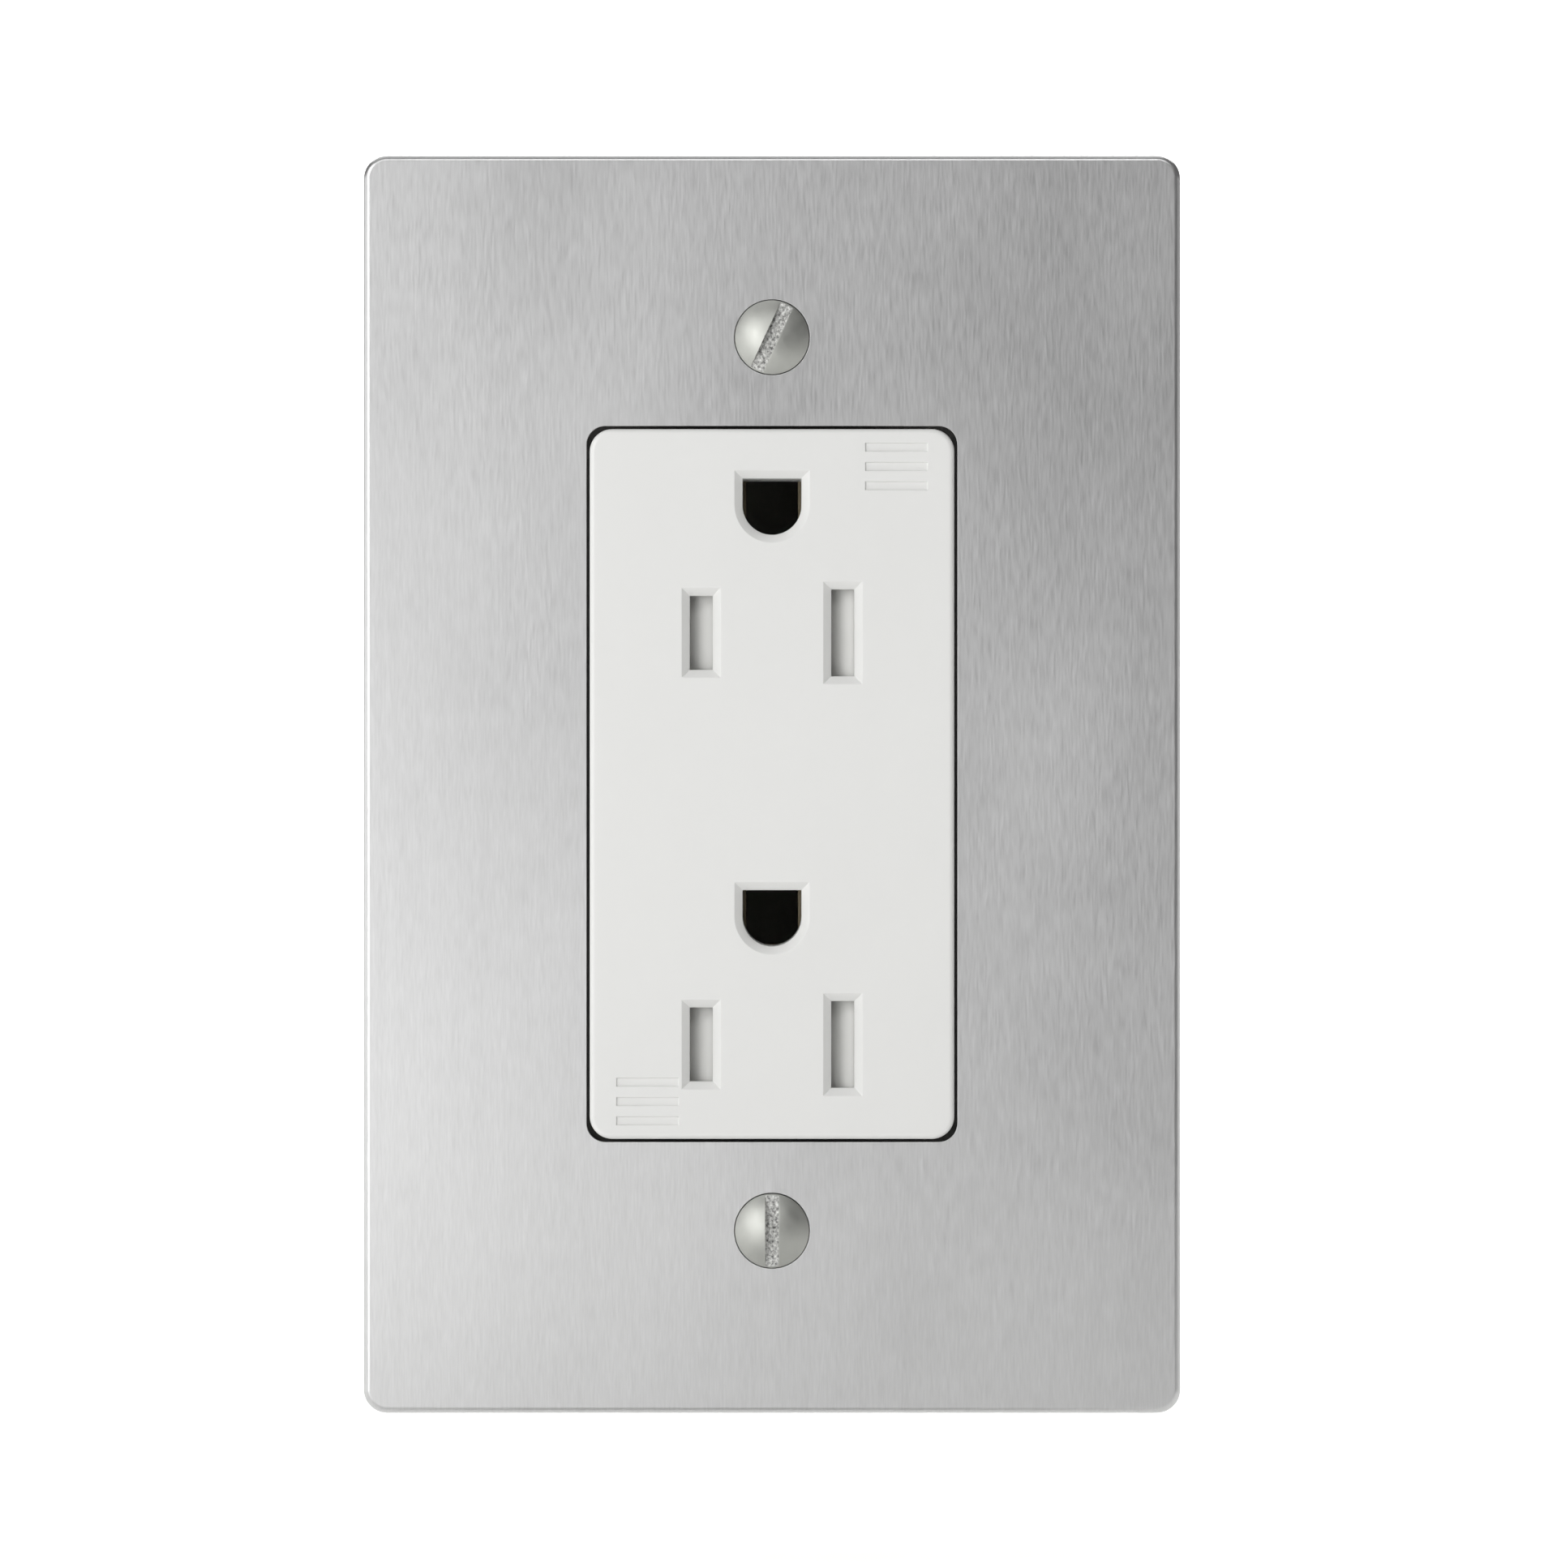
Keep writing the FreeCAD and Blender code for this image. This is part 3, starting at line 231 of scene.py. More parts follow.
def only(*things):
    """Selects these objects and nothing else. The last one becomes the active one."""
    bpy.ops.object.select_all(action="DESELECT")
    for thing in things:
        thing.select_set(True)
    bpy.context.view_layer.objects.active = things[-1]


def pick(piece, kind, wanted):
    """Enters edit mode with only the vertices, edges or faces selected that a test picks."""
    only(piece)
    bpy.ops.object.mode_set(mode="EDIT")
    bpy.ops.mesh.select_mode(type=kind)
    bpy.ops.mesh.select_all(action="DESELECT")
    bpy.ops.object.mode_set(mode="OBJECT")
    mesh = piece.data
    elements = {"VERT": mesh.vertices, "EDGE": mesh.edges, "FACE": mesh.polygons}[kind]
    for element in elements:
        element.select = wanted(element)
    bpy.ops.object.mode_set(mode="EDIT")


def ends(piece, edge):
    """The places of an edge's two ends."""
    return [piece.data.vertices[index].co for index in edge.vertices]


def leave_edit():
    """Goes back to object mode."""
    bpy.ops.object.mode_set(mode="OBJECT")


def settle(piece):
    """Puts a piece's place and turn into its mesh, so that its object sits at the origin."""
    only(piece)
    bpy.ops.object.transform_apply(location=True, rotation=True, scale=True)


def modify(piece, kind, **values):
    """Adds a modifier and applies it."""
    only(piece)
    modifier = piece.modifiers.new(kind.title(), kind)
    for name, value in values.items():
        setattr(modifier, name, value)
    bpy.ops.object.modifier_apply(modifier=modifier.name)


def carve(piece, *cutters):
    """Cuts other pieces out of a piece and removes them."""
    for cutter in cutters:
        modify(piece, "BOOLEAN", operation="DIFFERENCE", solver="EXACT", object=cutter)
        bpy.data.objects.remove(cutter)


def soften(piece, width, angle=40, segments=2):
    """Rounds the sharp edges a little and shades the rest smooth, with flat faces kept flat."""
    modify(
        piece,
        "BEVEL",
        width=width,
        segments=segments,
        limit_method="ANGLE",
        angle_limit=math.radians(angle),
        use_clamp_overlap=True,
        miter_outer="MITER_SHARP",
    )
    smooth(piece)


def smooth(piece):
    """Shades a piece smooth except at its sharper edges, with normals that keep its flat faces flat."""
    only(piece)
    bpy.ops.object.shade_smooth_by_angle(angle=math.radians(35))
    modify(piece, "WEIGHTED_NORMAL", keep_sharp=True, weight=100)


def face_outwards(piece):
    """Merges doubles and turns every face outwards."""
    pick(piece, "FACE", lambda face: True)
    bpy.ops.mesh.remove_doubles(threshold=SAME_POINT)
    bpy.ops.mesh.normals_make_consistent(inside=False)
    leave_edit()


def merged_copy(node, name):
    """A copy of a CAD node for finer work, with its triangles merged and its flat faces made whole."""
    only(frame["nodes"][node])
    bpy.ops.object.duplicate()
    piece = bpy.context.object
    piece.name = piece.data.name = name
    del piece["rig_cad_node"]
    bpy.ops.object.parent_clear(type="CLEAR_KEEP_TRANSFORM")
    piece.data.materials.clear()
    bpy.ops.mesh.customdata_custom_splitnormals_clear()
    pick(piece, "FACE", lambda face: True)
    bpy.ops.mesh.remove_doubles(threshold=SAME_CAD_POINT)
    bpy.ops.mesh.dissolve_limited(angle_limit=math.radians(0.3))
    leave_edit()
    return piece


def join(first, *others):
    """Joins pieces to the first one."""
    only(*others, first)
    bpy.ops.object.join()
    return first


def hand_over(piece, body, slot, *nodes):
    """Makes a finished piece ride on its body and stand for CAD nodes. The slot is not used."""
    settle(piece)
    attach(piece, body)
    if nodes:
        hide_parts(*nodes)


def body_of_node(node):
    """The body that a CAD node belongs to."""
    bodies = frame["record"]["behaviour"]["bodies"]
    return next(body for body, members in bodies.items() if node in members)


def slot_of_node(node):
    """The material slot of a CAD node."""
    return next(part["material_slot"] for part in frame["record"]["subparts"] if part["node"] == node)


def refine(node, name, material, width, **finish):
    """Replaces a CAD node by a merged copy with softened edges and a better material."""
    piece = merged_copy(node, name)
    soften(piece, width, **finish)
    piece.data.materials.append(material)
    hand_over(piece, body_of_node(node), slot_of_node(node), node)
    return piece


def slot_cutter(floor, width, reach):
    """A block that cuts an upright screw slot into a head that faces -Y, down to the slot's floor."""
    depth = 3 * MM
    bpy.ops.mesh.primitive_cube_add(size=1, location=(0, floor - depth / 2, 0))
    cutter = bpy.context.object
    cutter.scale = (width, depth, reach)
    settle(cutter)
    return cutter


def thread(start, end, radius, depth, pitch):
    """A helical ridge round the Y axis between two places on it, closed at both ends."""
    root = radius - depth
    # The ridge is a little narrower than its pitch, so that a thin root shows between two turns.
    half_width = pitch * 0.46
    bpy.ops.mesh.primitive_circle_add(vertices=4, radius=1, rotation=(math.pi / 2, 0, 0))
    ridge = bpy.context.object
    ridge.scale = (depth, half_width, 1)
    ridge.location = (root, 0, 0)
    settle(ridge)
    turns = int((end - start - pitch) / pitch)
    modify(
        ridge,
        "SCREW",
        axis="Z",
        screw_offset=pitch,
        iterations=turns,
        steps=28,
        render_steps=28,
        use_merge_vertices=True,
    )
    pick(ridge, "VERT", lambda vertex: True)
    bpy.ops.mesh.fill_holes(sides=0)
    leave_edit()
    ridge.rotation_euler = (-math.pi / 2, 0, 0)
    ridge.location = (0, start + pitch / 2, 0)
    settle(ridge)
    face_outwards(ridge)
    only(ridge)
    bpy.ops.object.shade_smooth_by_angle(angle=math.radians(40))
    return ridge


# Material helpers ------------------------------------------------------------------------------------------


def add_node(tree, kind, settings=None, links=None):
    """Adds a shader node, sets its options and sockets, and links other nodes' outputs to its inputs."""
    node = tree.nodes.new(kind)
    for name, value in (settings or {}).items():
        if isinstance(name, int) or name in node.inputs:
            node.inputs[name].default_value = value
        else:
            setattr(node, name, value)
    for name, source in (links or {}).items():
        tree.links.new(source, node.inputs[name])
    return node


def start_material(name, colour, **shader):
    """A new material with one Principled shader, and the object's own coordinates in millimetres."""
    material = bpy.data.materials.new(name)
    material.use_nodes = True
    tree = material.node_tree
    surface = tree.nodes["Principled BSDF"]
    surface.inputs["Base Color"].default_value = (*colour, 1)
    for socket, value in shader.items():
        surface.inputs[socket.replace("_", " ")].default_value = value
    place = add_node(tree, "ShaderNodeTexCoord").outputs["Object"]
    millimetres = add_node(
        tree, "ShaderNodeVectorMath", {"operation": "SCALE", "Scale": 1 / MM}, {0: place}
    ).outputs["Vector"]
    return material, tree, surface, millimetres


def noise(tree, place, sizes, detail=2, roughness=0.5):
    """A noise whose features have these sizes in millimetres along X, Y and Z."""
    stretched = add_node(
        tree, "ShaderNodeMapping", {"Scale": tuple(1 / size for size in sizes)}, {"Vector": place}
    )
    return add_node(
        tree,
        "ShaderNodeTexNoise",
        {"Scale": 1, "Detail": detail, "Roughness": roughness},
        {"Vector": stretched.outputs["Vector"]},
    ).outputs["Fac"]


def spread(tree, value, low, high, start=0.3, end=0.7):
    """Maps a pattern's usual span to a span of values."""
    return add_node(
        tree,
        "ShaderNodeMapRange",
        {"From Min": start, "From Max": end, "To Min": low, "To Max": high},
        {"Value": value},
    ).outputs["Result"]


def tint(tree, surface, colour, pattern, darkest, lightest=1.0):
    """Lets a pattern darken and lighten the base colour."""
    shade = spread(tree, pattern, darkest, lightest)
    toned = add_node(
        tree,
        "ShaderNodeVectorMath",
        {"operation": "SCALE", 0: colour},
        {"Scale": shade},
    ).outputs["Vector"]
    tree.links.new(toned, surface.inputs["Base Color"])
    return toned


def bump(tree, surface, layers):
    """Raises the surface by several patterns, each with its height in millimetres."""
    normal = None
    for pattern, height in layers:
        links = {"Height": pattern}
        if normal is not None:
            links["Normal"] = normal
        normal = add_node(
            tree, "ShaderNodeBump", {"Strength": 1, "Distance": height * MM}, links
        ).outputs["Normal"]
    tree.links.new(normal, surface.inputs["Normal"])


# Materials -------------------------------------------------------------------------------------------------


def brushed_stainless(settings):
    """304 stainless sheet, belt-brushed along its height: soft wide reflections, fine upright lines."""
    material, tree, surface, place = start_material(
        "brushed_stainless", settings.steel, Metallic=1.0, Anisotropic=0.5
    )
    width, run = settings.grain_width / MM, settings.grain_length / MM
    fine = noise(tree, place, (width, width, run), detail=3, roughness=0.6)
    # Broader bands, where the belt pressed harder, are about 0.9 mm wide and fade out along the sheet.
    broad = noise(tree, place, (0.9, 0.9, 20), detail=2)
    # Handling and rolling leave clouds about 18 mm across.
    clouds = noise(tree, place, (18, 18, 26), detail=2)
    lines = add_node(tree, "ShaderNodeMix", {0: 0.2}, {2: fine, 3: broad})
    tint(tree, surface, settings.steel, lines.outputs[0], 0.92, 1.05)
    roughness = add_node(
        tree,
        "ShaderNodeMath",
        {"operation": "MULTIPLY_ADD", 1: 0.1},
        {0: clouds, 2: spread(tree, fine, 0.27, 0.33)},
    )
    tree.links.new(roughness.outputs["Value"], surface.inputs["Roughness"])
    bump(tree, surface, [(broad, 0.0001), (fine, 0.0005)])
    return material


def polished_steel(settings, centre_z):
    """Polished screw steel: sharp reflections with faint turning rings round the head's axis."""
    material, tree, surface, place = start_material("polished_screw_steel", settings.steel, Metallic=1.0)
    centred = add_node(
        tree, "ShaderNodeMapping", {"Location": (0, 0, -centre_z / MM), "Scale": (1, 0, 1)}, {"Vector": place}
    ).outputs["Vector"]
    radius = add_node(tree, "ShaderNodeVectorMath", {"operation": "LENGTH"}, {0: centred}).outputs["Value"]
    # Turning marks are 0.12 mm apart, drawn coarser than the real ones.
    rings = add_node(tree, "ShaderNodeTexNoise", {"noise_dimensions": "1D", "Scale": 1 / 0.12}, {"W": radius})
    # Scuffs from a screwdriver and from handling are about 0.9 mm across.
    scuffs = noise(tree, place, (0.9, 0.9, 0.9), detail=4)
    tree.links.new(spread(tree, scuffs, 0.46, 0.54), surface.inputs["Roughness"])
    tint(tree, surface, settings.steel, scuffs, 0.93)
    bump(tree, surface, [(rings.outputs["Fac"], 0.0015), (scuffs, 0.002)])
    return material


def milled_steel(settings):
    """The milled floor and walls of a screw slot: pale, rough and torn."""
    material, tree, surface, place = start_material("milled_slot_steel", settings.slot_floor, Metallic=0.3)
    # Torn chips are about 0.3 mm across.
    torn = noise(tree, place, (0.3, 0.3, 0.34), detail=3, roughness=0.6)
    tint(tree, surface, settings.slot_floor, torn, 0.1, 1.35)
    tree.links.new(spread(tree, torn, 0.65, 0.4), surface.inputs["Roughness"])
    bump(tree, surface, [(torn, 0.12)])
    return material


def moulded_plastic(name, colour, roughness, grit, texture, flow):
    """A moulded thermoplastic: an even satin skin from the mould's texture, with faint flow marks."""
    material, tree, surface, place = start_material(name, colour, IOR=1.5)
    # The mould's grit is as wide as given, and the melt's flow marks are 9 mm wide and 16 mm long.
    skin = noise(tree, place, (grit, grit, grit), detail=2)
    marks = noise(tree, place, (9, 9, 16), detail=3)
    tint(tree, surface, colour, marks, 1 - flow, 1.0)
    tree.links.new(spread(tree, skin, roughness - 0.05, roughness + 0.05), surface.inputs["Roughness"])
    bump(tree, surface, [(skin, texture), (marks, 0.004)])
    return material


def vulcanised_fibre(settings):
    """Vulcanised fibre: dull red, with short pressed fibres in the sheet."""
    material, tree, surface, place = start_material("vulcanised_fibre", settings.fibre, IOR=1.45)
    # Pressed fibres are 0.9 mm long and 0.14 to 0.25 mm wide, drawn coarser than the real ones.
    fibres = noise(tree, place, (0.9, 0.25, 0.14), detail=4, roughness=0.7)
    tint(tree, surface, settings.fibre, fibres, 0.7, 1.1)
    tree.links.new(spread(tree, fibres, 0.6, 0.8), surface.inputs["Roughness"])
    bump(tree, surface, [(fibres, 0.02)])
    return material


def plated_metal(name, colour, roughness, worn=1.0, grain=(1.4, 1.4, 1.4)):
    """A plated or dyed metal part: fine stamping grain, cloudy plating and edges rubbed bright."""
    material, tree, surface, place = start_material(name, colour, Metallic=1.0)
    # Stamping grain is about 0.14 to 0.2 mm wide, and longer along a rolled strip. Plating leaves clouds
    # about 3.5 mm across.
    fine = noise(tree, place, tuple(size * 0.14 for size in grain), detail=3, roughness=0.6)
    clouds = noise(tree, place, (3.5, 3.5, 3.5), detail=3)
    toned = tint(tree, surface, colour, clouds, 0.84, 1.02)
    edges = add_node(tree, "ShaderNodeNewGeometry").outputs["Pointiness"]
    rubbed = spread(tree, edges, 0, 0.5 * worn, 0.52, 0.6)
    bright = add_node(
        tree,
        "ShaderNodeMix",
        {"data_type": "RGBA", 7: (0.8, 0.79, 0.77, 1)},
        {0: rubbed, 6: toned},
    ).outputs[2]
    tree.links.new(bright, surface.inputs["Base Color"])
    grainy = add_node(
        tree,
        "ShaderNodeMath",
        {"operation": "MULTIPLY_ADD", 1: 0.12},
        {0: clouds, 2: spread(tree, fine, roughness - 0.06, roughness + 0.06)},
    ).outputs["Value"]
    tree.links.new(grainy, surface.inputs["Roughness"])
    bump(tree, surface, [(clouds, 0.003), (fine, 0.003)])
    return material


def backdrop_paper(colour):
    """Smooth pale paper."""
    material, tree, surface, place = start_material("backdrop_paper", colour)
    # The paper's tooth is drawn 2 mm wide, coarser than the real one, and only its gloss changes.
    tooth = noise(tree, place, (2, 2, 2), detail=2)
    tree.links.new(spread(tree, tooth, 0.85, 0.95), surface.inputs["Roughness"])
    return material


# Pieces ----------------------------------------------------------------------------------------------------


class WALLPLATE_OT_plate(bpy.types.Operator):
    """Finishes the pressed plate in brushed stainless steel"""

    bl_idname = "wallplate.plate"
    bl_label = "Wall Plate"

    def execute(self, context):
        settings = context.scene.wallplate_plate
        refine("wall_plate", "brushed_plate", brushed_stainless(settings), settings.edge)
        return {"FINISHED"}


class WALLPLATE_OT_cover_screws(bpy.types.Operator):
    """Models the two slotted dome-head screws with their threads"""

    bl_idname = "wallplate.cover_screws"
    bl_label = "Cover Screws"

    def extend(self, piece, amount, scale):
        """Extrudes the rear face backwards and scales the new end about the screw's axis."""
        last = max(vertex.co.y for vertex in piece.data.vertices)
        pick(piece, "FACE", lambda face: face.normal.y > 0.9 and face.center.y > last - 1e-6)
        bpy.ops.mesh.extrude_region_move(TRANSFORM_OT_translate={"value": (0, amount, 0)})
        bpy.ops.transform.resize(value=(scale, 1, scale), center_override=(0, last + amount, 0))
        leave_edit()

    def blank(self, settings, radius, plate_front, tip):
        """The screw about the Y axis before its slot and thread are cut: dome, conical seat and core."""
        rise, rim_y = settings.dome, plate_front - settings.rim
        ball = (radius**2 + rise**2) / (2 * rise)
        bpy.ops.mesh.primitive_uv_sphere_add(
            segments=96,
            ring_count=144,
            radius=ball,
            location=(0, rim_y - rise + ball, 0),
            rotation=(math.pi / 2, 0, 0),
        )
        piece = bpy.context.object
        settle(piece)
        pick(piece, "FACE", lambda face: True)
        bpy.ops.mesh.bisect(
            plane_co=(0, rim_y, 0), plane_no=(0, 1, 0), use_fill=True, clear_outer=True, threshold=SAME_POINT
        )
        leave_edit()
        core = settings.thread_radius - settings.thread_depth
        run_out, bevel = 0.25 * MM, 0.5 * MM
        tip_share = 0.72
        core_end = plate_front + settings.seat + run_out
        self.extend(piece, settings.rim, 1)
        self.extend(piece, settings.seat, settings.thread_radius / radius)
        self.extend(piece, run_out, core / settings.thread_radius)
        self.extend(piece, tip - bevel - core_end, 1)
        self.extend(piece, bevel, tip_share)
        return piece

    def screw(self, settings, radius, plate_front, top, tip, materials):
        """A whole screw about the Y axis, with its slot upright."""
        piece = self.blank(settings, radius, plate_front, tip)
        floor = top + settings.slot_depth
        carve(piece, slot_cutter(floor, settings.slot_width, CUTTER_REACH * radius))
        for material in materials:
            piece.data.materials.append(material)
        soften(piece, settings.edge, angle=50)
        slack = 0.01 * MM
        for face in piece.data.polygons:
            inside = abs(face.center.x) < settings.slot_width / 2 + slack and face.center.y < floor + slack
            face.material_index = 1 if inside else 0
        lead_in, lead_out = 0.4 * MM, 0.3 * MM
        start, end = plate_front + settings.seat + lead_in, tip - lead_out
        ridge = thread(start, end, settings.thread_radius, settings.thread_depth, settings.cover_pitch)
        ridge.data.materials.append(materials[0])
        return join(piece, ridge)

    def execute(self, context):
        settings = context.scene.wallplate_screws
        plate_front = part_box("wall_plate")[0].y
        turns = {"upper": settings.upper_turn, "lower": settings.lower_turn}
        for level in LEVELS:
            node = f"cover_screw_{level}"
            low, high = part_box(node)
            centre_z = (low.z + high.z) / 2
            materials = polished_steel(settings, centre_z), milled_steel(settings)
            piece = self.screw(settings, (high.x - low.x) / 2, plate_front, low.y, high.y, materials)
            piece.rotation_euler = (0, turns[level], 0)
            piece.location.z = centre_z
            piece.name = piece.data.name = f"domed_screw_{level}"
            hand_over(piece, body_of_node(node), "polished_screw_steel", node)
        return {"FINISHED"}


class WALLPLATE_OT_face(bpy.types.Operator):
    """Finishes the white face and the front housing behind it"""

    bl_idname = "wallplate.face"
    bl_label = "Receptacle Face"

    def execute(self, context):
        settings = context.scene.wallplate_plastics
        # Polycarbonate with a satin skin: the mould's grit is about 0.2 mm.
        white = moulded_plastic("white_polycarbonate", settings.face, 0.36, 0.2, 0.0015, 0.012)
        face = refine("face_housing", "receptacle_face", white, settings.edge)
        # Painted shade: the front faces of the flange's ring round the face take a dark rough plastic, which
        # stands in for the shadow in the narrow gap between the face and the plate.
        face.data.materials.append(
            moulded_plastic("shaded_gap_polycarbonate", settings.gap_shade, 0.8, 0.2, 0.004, 0.3)
        )
        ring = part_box("face_housing")[0].y + settings.flange
        slack = 0.05 * MM
        for polygon in face.data.polygons:
            if polygon.normal.y < -0.9 and abs(polygon.center.y - ring) < slack:
                polygon.material_index = 1
        return {"FINISHED"}


class WALLPLATE_OT_shutters(bpy.types.Operator):
    """Finishes the shutters and their trays, and models their springs"""

    bl_idname = "wallplate.shutters"
    bl_label = "Shutters"

    def spring(self, level, material, settings):
        """A coil of wire along X between the shutter and the tray's stop, with a ring at each end."""
        node = f"shutter_spring_{level}"
        low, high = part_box(node)
        centre = (low + high) / 2
        wire, middle = settings.spring_wire, settings.spring_radius - settings.spring_wire
        coils = settings.coils
        bpy.ops.mesh.primitive_circle_add(vertices=10, radius=wire, rotation=(math.pi / 2, 0, 0))
        coil = bpy.context.object
        coil.location = (middle, 0, 0)
        settle(coil)
        run = high.x - low.x - 2 * wire
        modify(
            coil, "SCREW", axis="Z", screw_offset=run / coils, iterations=coils, steps=32, render_steps=32
        )
        pick(coil, "VERT", lambda vertex: True)
        bpy.ops.mesh.fill_holes(sides=0)
        leave_edit()
        rings = []
        for end in (0, run):
            bpy.ops.mesh.primitive_torus_add(
                major_segments=32, minor_segments=10, major_radius=middle, minor_radius=wire
            )
            ring = bpy.context.object
            ring.location.z = end
            settle(ring)
            rings.append(ring)
        join(coil, *rings)
        coil.rotation_euler = (0, math.pi / 2, 0)
        coil.location = (low.x + wire, centre.y, centre.z)
        settle(coil)
        face_outwards(coil)
        only(coil)
        bpy.ops.object.shade_smooth()
        coil.data.materials.append(material)
        coil.name = coil.data.name = f"shutter_coil_{level}"
        hand_over(coil, "device", "spring_steel", node)
        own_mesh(coil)

    def execute(self, context):
        plastics = context.scene.wallplate_plastics
        metals = context.scene.wallplate_metals
        # Acetal shutters are matt and slick, and the trays are a plain nylon.
        acetal = moulded_plastic("acetal_shutter", plastics.shutter, 0.45, 0.3, 0.002, 0.03)
        nylon = moulded_plastic("nylon_tray", plastics.tray, 0.55, 0.4, 0.003, 0.04)
        wire = plated_metal("drawn_spring_wire", metals.spring, 0.24, 0.0)
        for level in LEVELS:
            refine(f"shutter_{level}", f"sliding_shutter_{level}", acetal, plastics.edge)
            refine(f"shutter_tray_{level}", f"guide_tray_{level}", nylon, plastics.edge)
            self.spring(level, wire, metals)
        return {"FINISHED"}


class WALLPLATE_OT_strap(bpy.types.Operator):
    """Finishes the zinc-plated strap and the fibre washers on it"""

    bl_idname = "wallplate.strap"
    bl_label = "Mounting Strap"

    def execute(self, context):
        metals = context.scene.wallplate_metals
        plastics = context.scene.wallplate_plastics
        zinc = plated_metal("zinc_plated_sheet", metals.zinc, 0.34, 1.0, (1.0, 1.0, 9.0))
        refine("mounting_strap", "zinc_strap", zinc, metals.edge)
        fibre = vulcanised_fibre(plastics)
        for level in LEVELS:
            refine(f"screw_retainer_{level}", f"fibre_washer_{level}", fibre, plastics.fibre_edge)
        return {"FINISHED"}


class WALLPLATE_OT_contacts(bpy.types.Operator):
    """Finishes the stamped contacts and their rivets"""

    bl_idname = "wallplate.contacts"
    bl_label = "Contacts"

    def execute(self, context):
        metals = context.scene.wallplate_metals
        brass = plated_metal("stamped_brass", metals.brass, 0.3, 0.4, (1.0, 1.0, 6.0))
        nickel = plated_metal("nickel_plated_brass", metals.nickel, 0.26, 0.5, (1.0, 1.0, 6.0))
        zinc = plated_metal("zinc_plated_rivet", metals.zinc, 0.3)
        refine("hot_bus", "brass_bus", brass, metals.edge)
        refine("neutral_bus", "plated_bus", nickel, metals.edge)
        # Painted shade, in part: the earth bar's brass is tarnished and darkened beyond that, standing in for
        # the shade deep in the earth hole.
        dull_and_shaded = plated_metal("tarnished_and_shaded_brass", metals.tarnish_and_shade, 0.42, 0.2, (1.0, 1.0, 6.0))
        refine("earth_contact_bar", "brass_earth_bar", dull_and_shaded, metals.edge)
        refine("earth_rivets", "domed_rivets", zinc, metals.rivet_edge, segments=4)
        return {"FINISHED"}


class WALLPLATE_OT_terminals(bpy.types.Operator):
    """Models the terminal screws and finishes their clamp plates"""

    bl_idname = "wallplate.terminals"
    bl_label = "Terminals"

    def screw(self, node, name, side, settings, material, slot):
        """A slotted binding-head screw whose head faces away from the middle along X."""
        low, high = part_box(node)
        centre = (low + high) / 2
        radius = (high.y - low.y) / 2
        thick, total = settings.terminal_head, high.x - low.x
        bpy.ops.mesh.primitive_cylinder_add(vertices=72, radius=radius, depth=thick, location=(0, 0, 0))
        head = bpy.context.object
        pick(head, "EDGE", lambda edge: all(end.z > 0 for end in ends(head, edge)))
        bpy.ops.mesh.bevel(offset=settings.terminal_round, segments=5, profile=0.5)
        leave_edit()
        bpy.ops.mesh.primitive_cube_add(size=1, location=(0, 0, thick / 2))
        cutter = bpy.context.object
        reach = CUTTER_REACH * radius
        cutter.scale = (reach, settings.terminal_slot_width, 2 * settings.terminal_slot_depth)
        settle(cutter)
        carve(head, cutter)
        core_radius = settings.terminal_radius - settings.thread_depth
        bpy.ops.mesh.primitive_cylinder_add(
            vertices=40, radius=core_radius, depth=total - thick, location=(0, 0, -total / 2)
        )
        core = bpy.context.object
        settle(core)
        pick(core, "EDGE", lambda edge: all(end.z < thick - total for end in ends(core, edge)))
        bevel, lead_out = 0.5 * MM, 0.3 * MM
        bpy.ops.mesh.bevel(offset=bevel, segments=2)
        leave_edit()
        soften(head, settings.terminal_edge, angle=50)
        smooth(core)
        stop = total - thick - lead_out
        ridge = thread(0, stop, settings.terminal_radius, settings.thread_depth, settings.cover_pitch)
        ridge.rotation_euler = (-math.pi / 2, 0, 0)
        ridge.location = (0, 0, -thick / 2)
        settle(ridge)
        join(head, core, ridge)
        head.data.materials.clear()
        head.data.materials.append(material)
        outer = high.x if side == RIGHT else low.x
        head.matrix_world = (
            Matrix.Translation((outer - side * thick / 2, centre.y, centre.z))
            @ Matrix.Rotation(math.pi / 2 * side, 4, "Y")
        )
        settle(head)
        head.name = head.data.name = name
        hand_over(head, body_of_node(node), slot, node)

    def execute(self, context):
        metals = context.scene.wallplate_metals
        screws = context.scene.wallplate_screws
        zinc = plated_metal("zinc_plated_clamp", metals.zinc, 0.32)
        brass = plated_metal("bright_brass_screw", metals.brass, 0.2, 0.4)
        nickel = plated_metal("bright_nickel_screw", metals.nickel, 0.16, 0.4)
        green = plated_metal("green_dyed_screw", metals.green, 0.26, 0.6)
        for side, polarity, material, slot in (
            (LEFT, "hot", brass, "brass_screw"),
            (RIGHT, "neutral", nickel, "nickel_plated_screw"),
        ):
            for level in LEVELS:
                clamp = f"{polarity}_clamp_{level}"
                refine(clamp, f"pressure_plate_{polarity}_{level}", zinc, metals.edge)
                name = f"binding_screw_{polarity}_{level}"
                self.screw(f"{polarity}_screw_{level}", name, side, screws, material, slot)
        refine("earth_clamp", "pressure_plate_earth", zinc, metals.edge)
        self.screw("earth_screw", "binding_screw_earth", LEFT, screws, green, "green_screw")
        return {"FINISHED"}


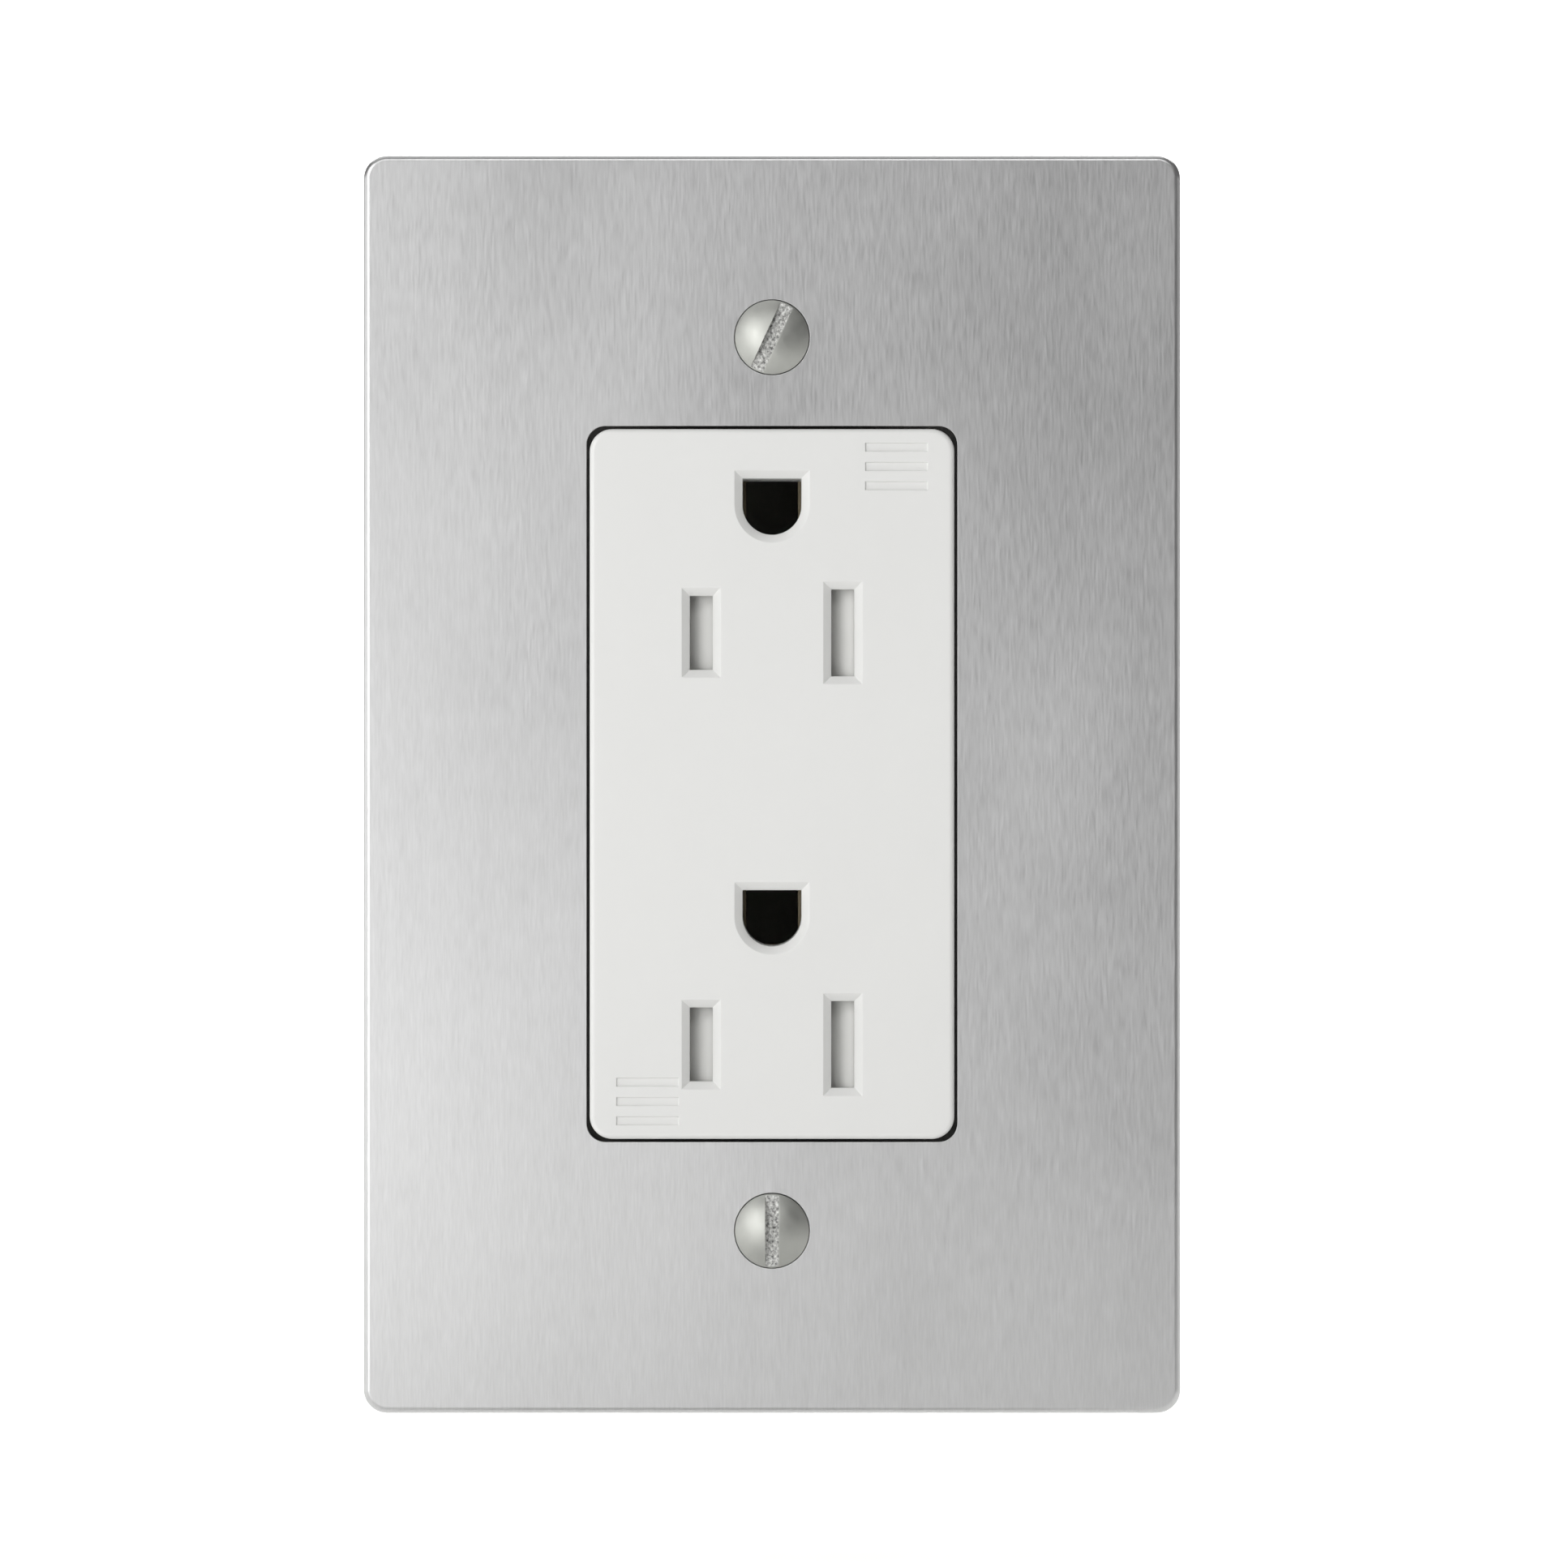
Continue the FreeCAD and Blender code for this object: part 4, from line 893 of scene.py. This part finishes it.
class WALLPLATE_OT_rear_housing(bpy.types.Operator):
    """Finishes the rear housing and the screws that hold it on"""

    bl_idname = "wallplate.rear_housing"
    bl_label = "Rear Housing"

    def execute(self, context):
        plastics = context.scene.wallplate_plastics
        metals = context.scene.wallplate_metals
        nylon = moulded_plastic("glass_filled_nylon", plastics.rear, 0.5, 0.5, 0.004, 0.05)
        refine("rear_housing", "nylon_rear_housing", nylon, plastics.edge)
        zinc = plated_metal("zinc_plated_case_screw", metals.zinc, 0.28)
        refine("case_screws", "recessed_case_screws", zinc, metals.case_screw_edge)
        return {"FINISHED"}


# Stage -----------------------------------------------------------------------------------------------------


class WALLPLATE_OT_stage(bpy.types.Operator):
    """Adds the pale floor and backdrop, the lights and the camera"""

    bl_idname = "wallplate.stage"
    bl_label = "Stage"

    def backdrop(self, settings):
        """A floor that curves up into a wall well behind the plate."""
        floor_z = cad_bounds[0][2] - settings.drop
        bpy.ops.mesh.primitive_plane_add(size=1, location=(0, 0, floor_z))
        sweep = bpy.context.object
        sweep.scale = (settings.floor_width, settings.floor_run, 1)
        sweep.location.y = settings.floor_middle
        settle(sweep)
        slack = 0.1 * MM
        back = max(vertex.co.y for vertex in sweep.data.vertices) - slack
        pick(sweep, "EDGE", lambda edge: all(end.y > back for end in ends(sweep, edge)))
        bpy.ops.mesh.extrude_region_move(TRANSFORM_OT_translate={"value": (0, 0, settings.wall_height)})
        leave_edit()
        low = floor_z + slack
        pick(sweep, "EDGE", lambda edge: all(end.y > back and end.z < low for end in ends(sweep, edge)))
        bpy.ops.mesh.bevel(offset=settings.wall_curve, segments=24)
        leave_edit()
        only(sweep)
        bpy.ops.object.shade_smooth()
        sweep.data.materials.append(backdrop_paper(settings.floor))
        sweep.name = "paper_sweep"

    def softbox(self, name, power, place, wide, tall, target=(0, 0, 0)):
        """An area light that faces a place."""
        bpy.ops.object.light_add(type="AREA", location=place)
        lamp = bpy.context.object
        lamp.name = lamp.data.name = name
        lamp.data.shape = "RECTANGLE"
        lamp.data.size, lamp.data.size_y = wide, tall
        lamp.data.energy = power
        lamp.rotation_euler = (Vector(target) - Vector(place)).to_track_quat("-Z", "Z").to_euler()

    def execute(self, context):
        settings = context.scene.wallplate_stage
        self.backdrop(settings)
        # Each light has its place, width and height in metres, and faces the plate unless it has a target.
        self.softbox("key_softbox", settings.key_power, (-0.36, -0.62, 0.1), 0.3, 0.8)
        self.softbox("fill_softbox", settings.fill_power, (0.05, -1.0, 0.66), 0.5, 0.3)
        self.softbox("side_strip", settings.side_power, (-0.9, -0.12, 0.02), 0.3, 1.0)
        self.softbox("edge_strip", settings.edge_power, (0.9, 0.05, 0), 0.2, 1.0)
        self.softbox("top_strip", settings.top_power, (-0.15, -0.15, 0.9), 1.0, 0.3)
        self.softbox("backdrop_light", settings.backdrop_power, (0, 1.3, 1.5), 2.4, 1.2, target=(0, 2.1, 0))
        world = bpy.data.worlds.new("even_light")
        world.use_nodes = True
        background = world.node_tree.nodes["Background"]
        background.inputs["Color"].default_value = (1, 1, 1, 1)
        background.inputs["Strength"].default_value = settings.ambient
        context.scene.world = world
        bpy.ops.object.camera_add(location=(0, -settings.distance, 0), rotation=(math.pi / 2, 0, 0))
        camera = bpy.context.object
        camera.name = camera.data.name = "front_camera"
        camera.data.sensor_fit = "HORIZONTAL"
        camera.data.sensor_width = 36
        face = abs(cad_bounds[0][1])
        camera.data.lens = camera.data.sensor_width * (settings.distance - face) / settings.view_width
        context.scene.camera = camera
        context.scene.view_settings.view_transform = "Standard"
        return {"FINISHED"}


# Panel and registration ------------------------------------------------------------------------------------


SETTINGS = {
    "wallplate_plate": WALLPLATE_PG_plate,
    "wallplate_screws": WALLPLATE_PG_screws,
    "wallplate_plastics": WALLPLATE_PG_plastics,
    "wallplate_metals": WALLPLATE_PG_metals,
    "wallplate_stage": WALLPLATE_PG_stage,
}

OPERATORS = (
    WALLPLATE_OT_stage,
    WALLPLATE_OT_plate,
    WALLPLATE_OT_cover_screws,
    WALLPLATE_OT_face,
    WALLPLATE_OT_shutters,
    WALLPLATE_OT_strap,
    WALLPLATE_OT_contacts,
    WALLPLATE_OT_terminals,
    WALLPLATE_OT_rear_housing,
)


class WALLPLATE_PT_panel(bpy.types.Panel):
    """Lists the pieces in the order in which they are made"""

    bl_idname = "WALLPLATE_PT_panel"
    bl_label = "Wall Plate Cover"
    bl_space_type = "VIEW_3D"
    bl_region_type = "UI"
    bl_category = "Wall Plate"

    def draw(self, context):
        column = self.layout.column(align=True)
        for operator in OPERATORS:
            column.operator(operator.bl_idname)


def register():
    """Registers the settings, the operators and the panel."""
    for name, group in SETTINGS.items():
        bpy.utils.register_class(group)
        setattr(bpy.types.Scene, name, PointerProperty(type=group))
    for operator in OPERATORS:
        bpy.utils.register_class(operator)
    bpy.utils.register_class(WALLPLATE_PT_panel)


def unregister():
    """Removes what register added."""
    bpy.utils.unregister_class(WALLPLATE_PT_panel)
    for operator in reversed(OPERATORS):
        bpy.utils.unregister_class(operator)
    for name, group in SETTINGS.items():
        delattr(bpy.types.Scene, name)
        bpy.utils.unregister_class(group)


def main():
    """Makes every piece and the stage."""
    register()
    for operator in OPERATORS:
        group, name = operator.bl_idname.split(".")
        getattr(getattr(bpy.ops, group), name)()


if __name__ == "__main__":
    main()
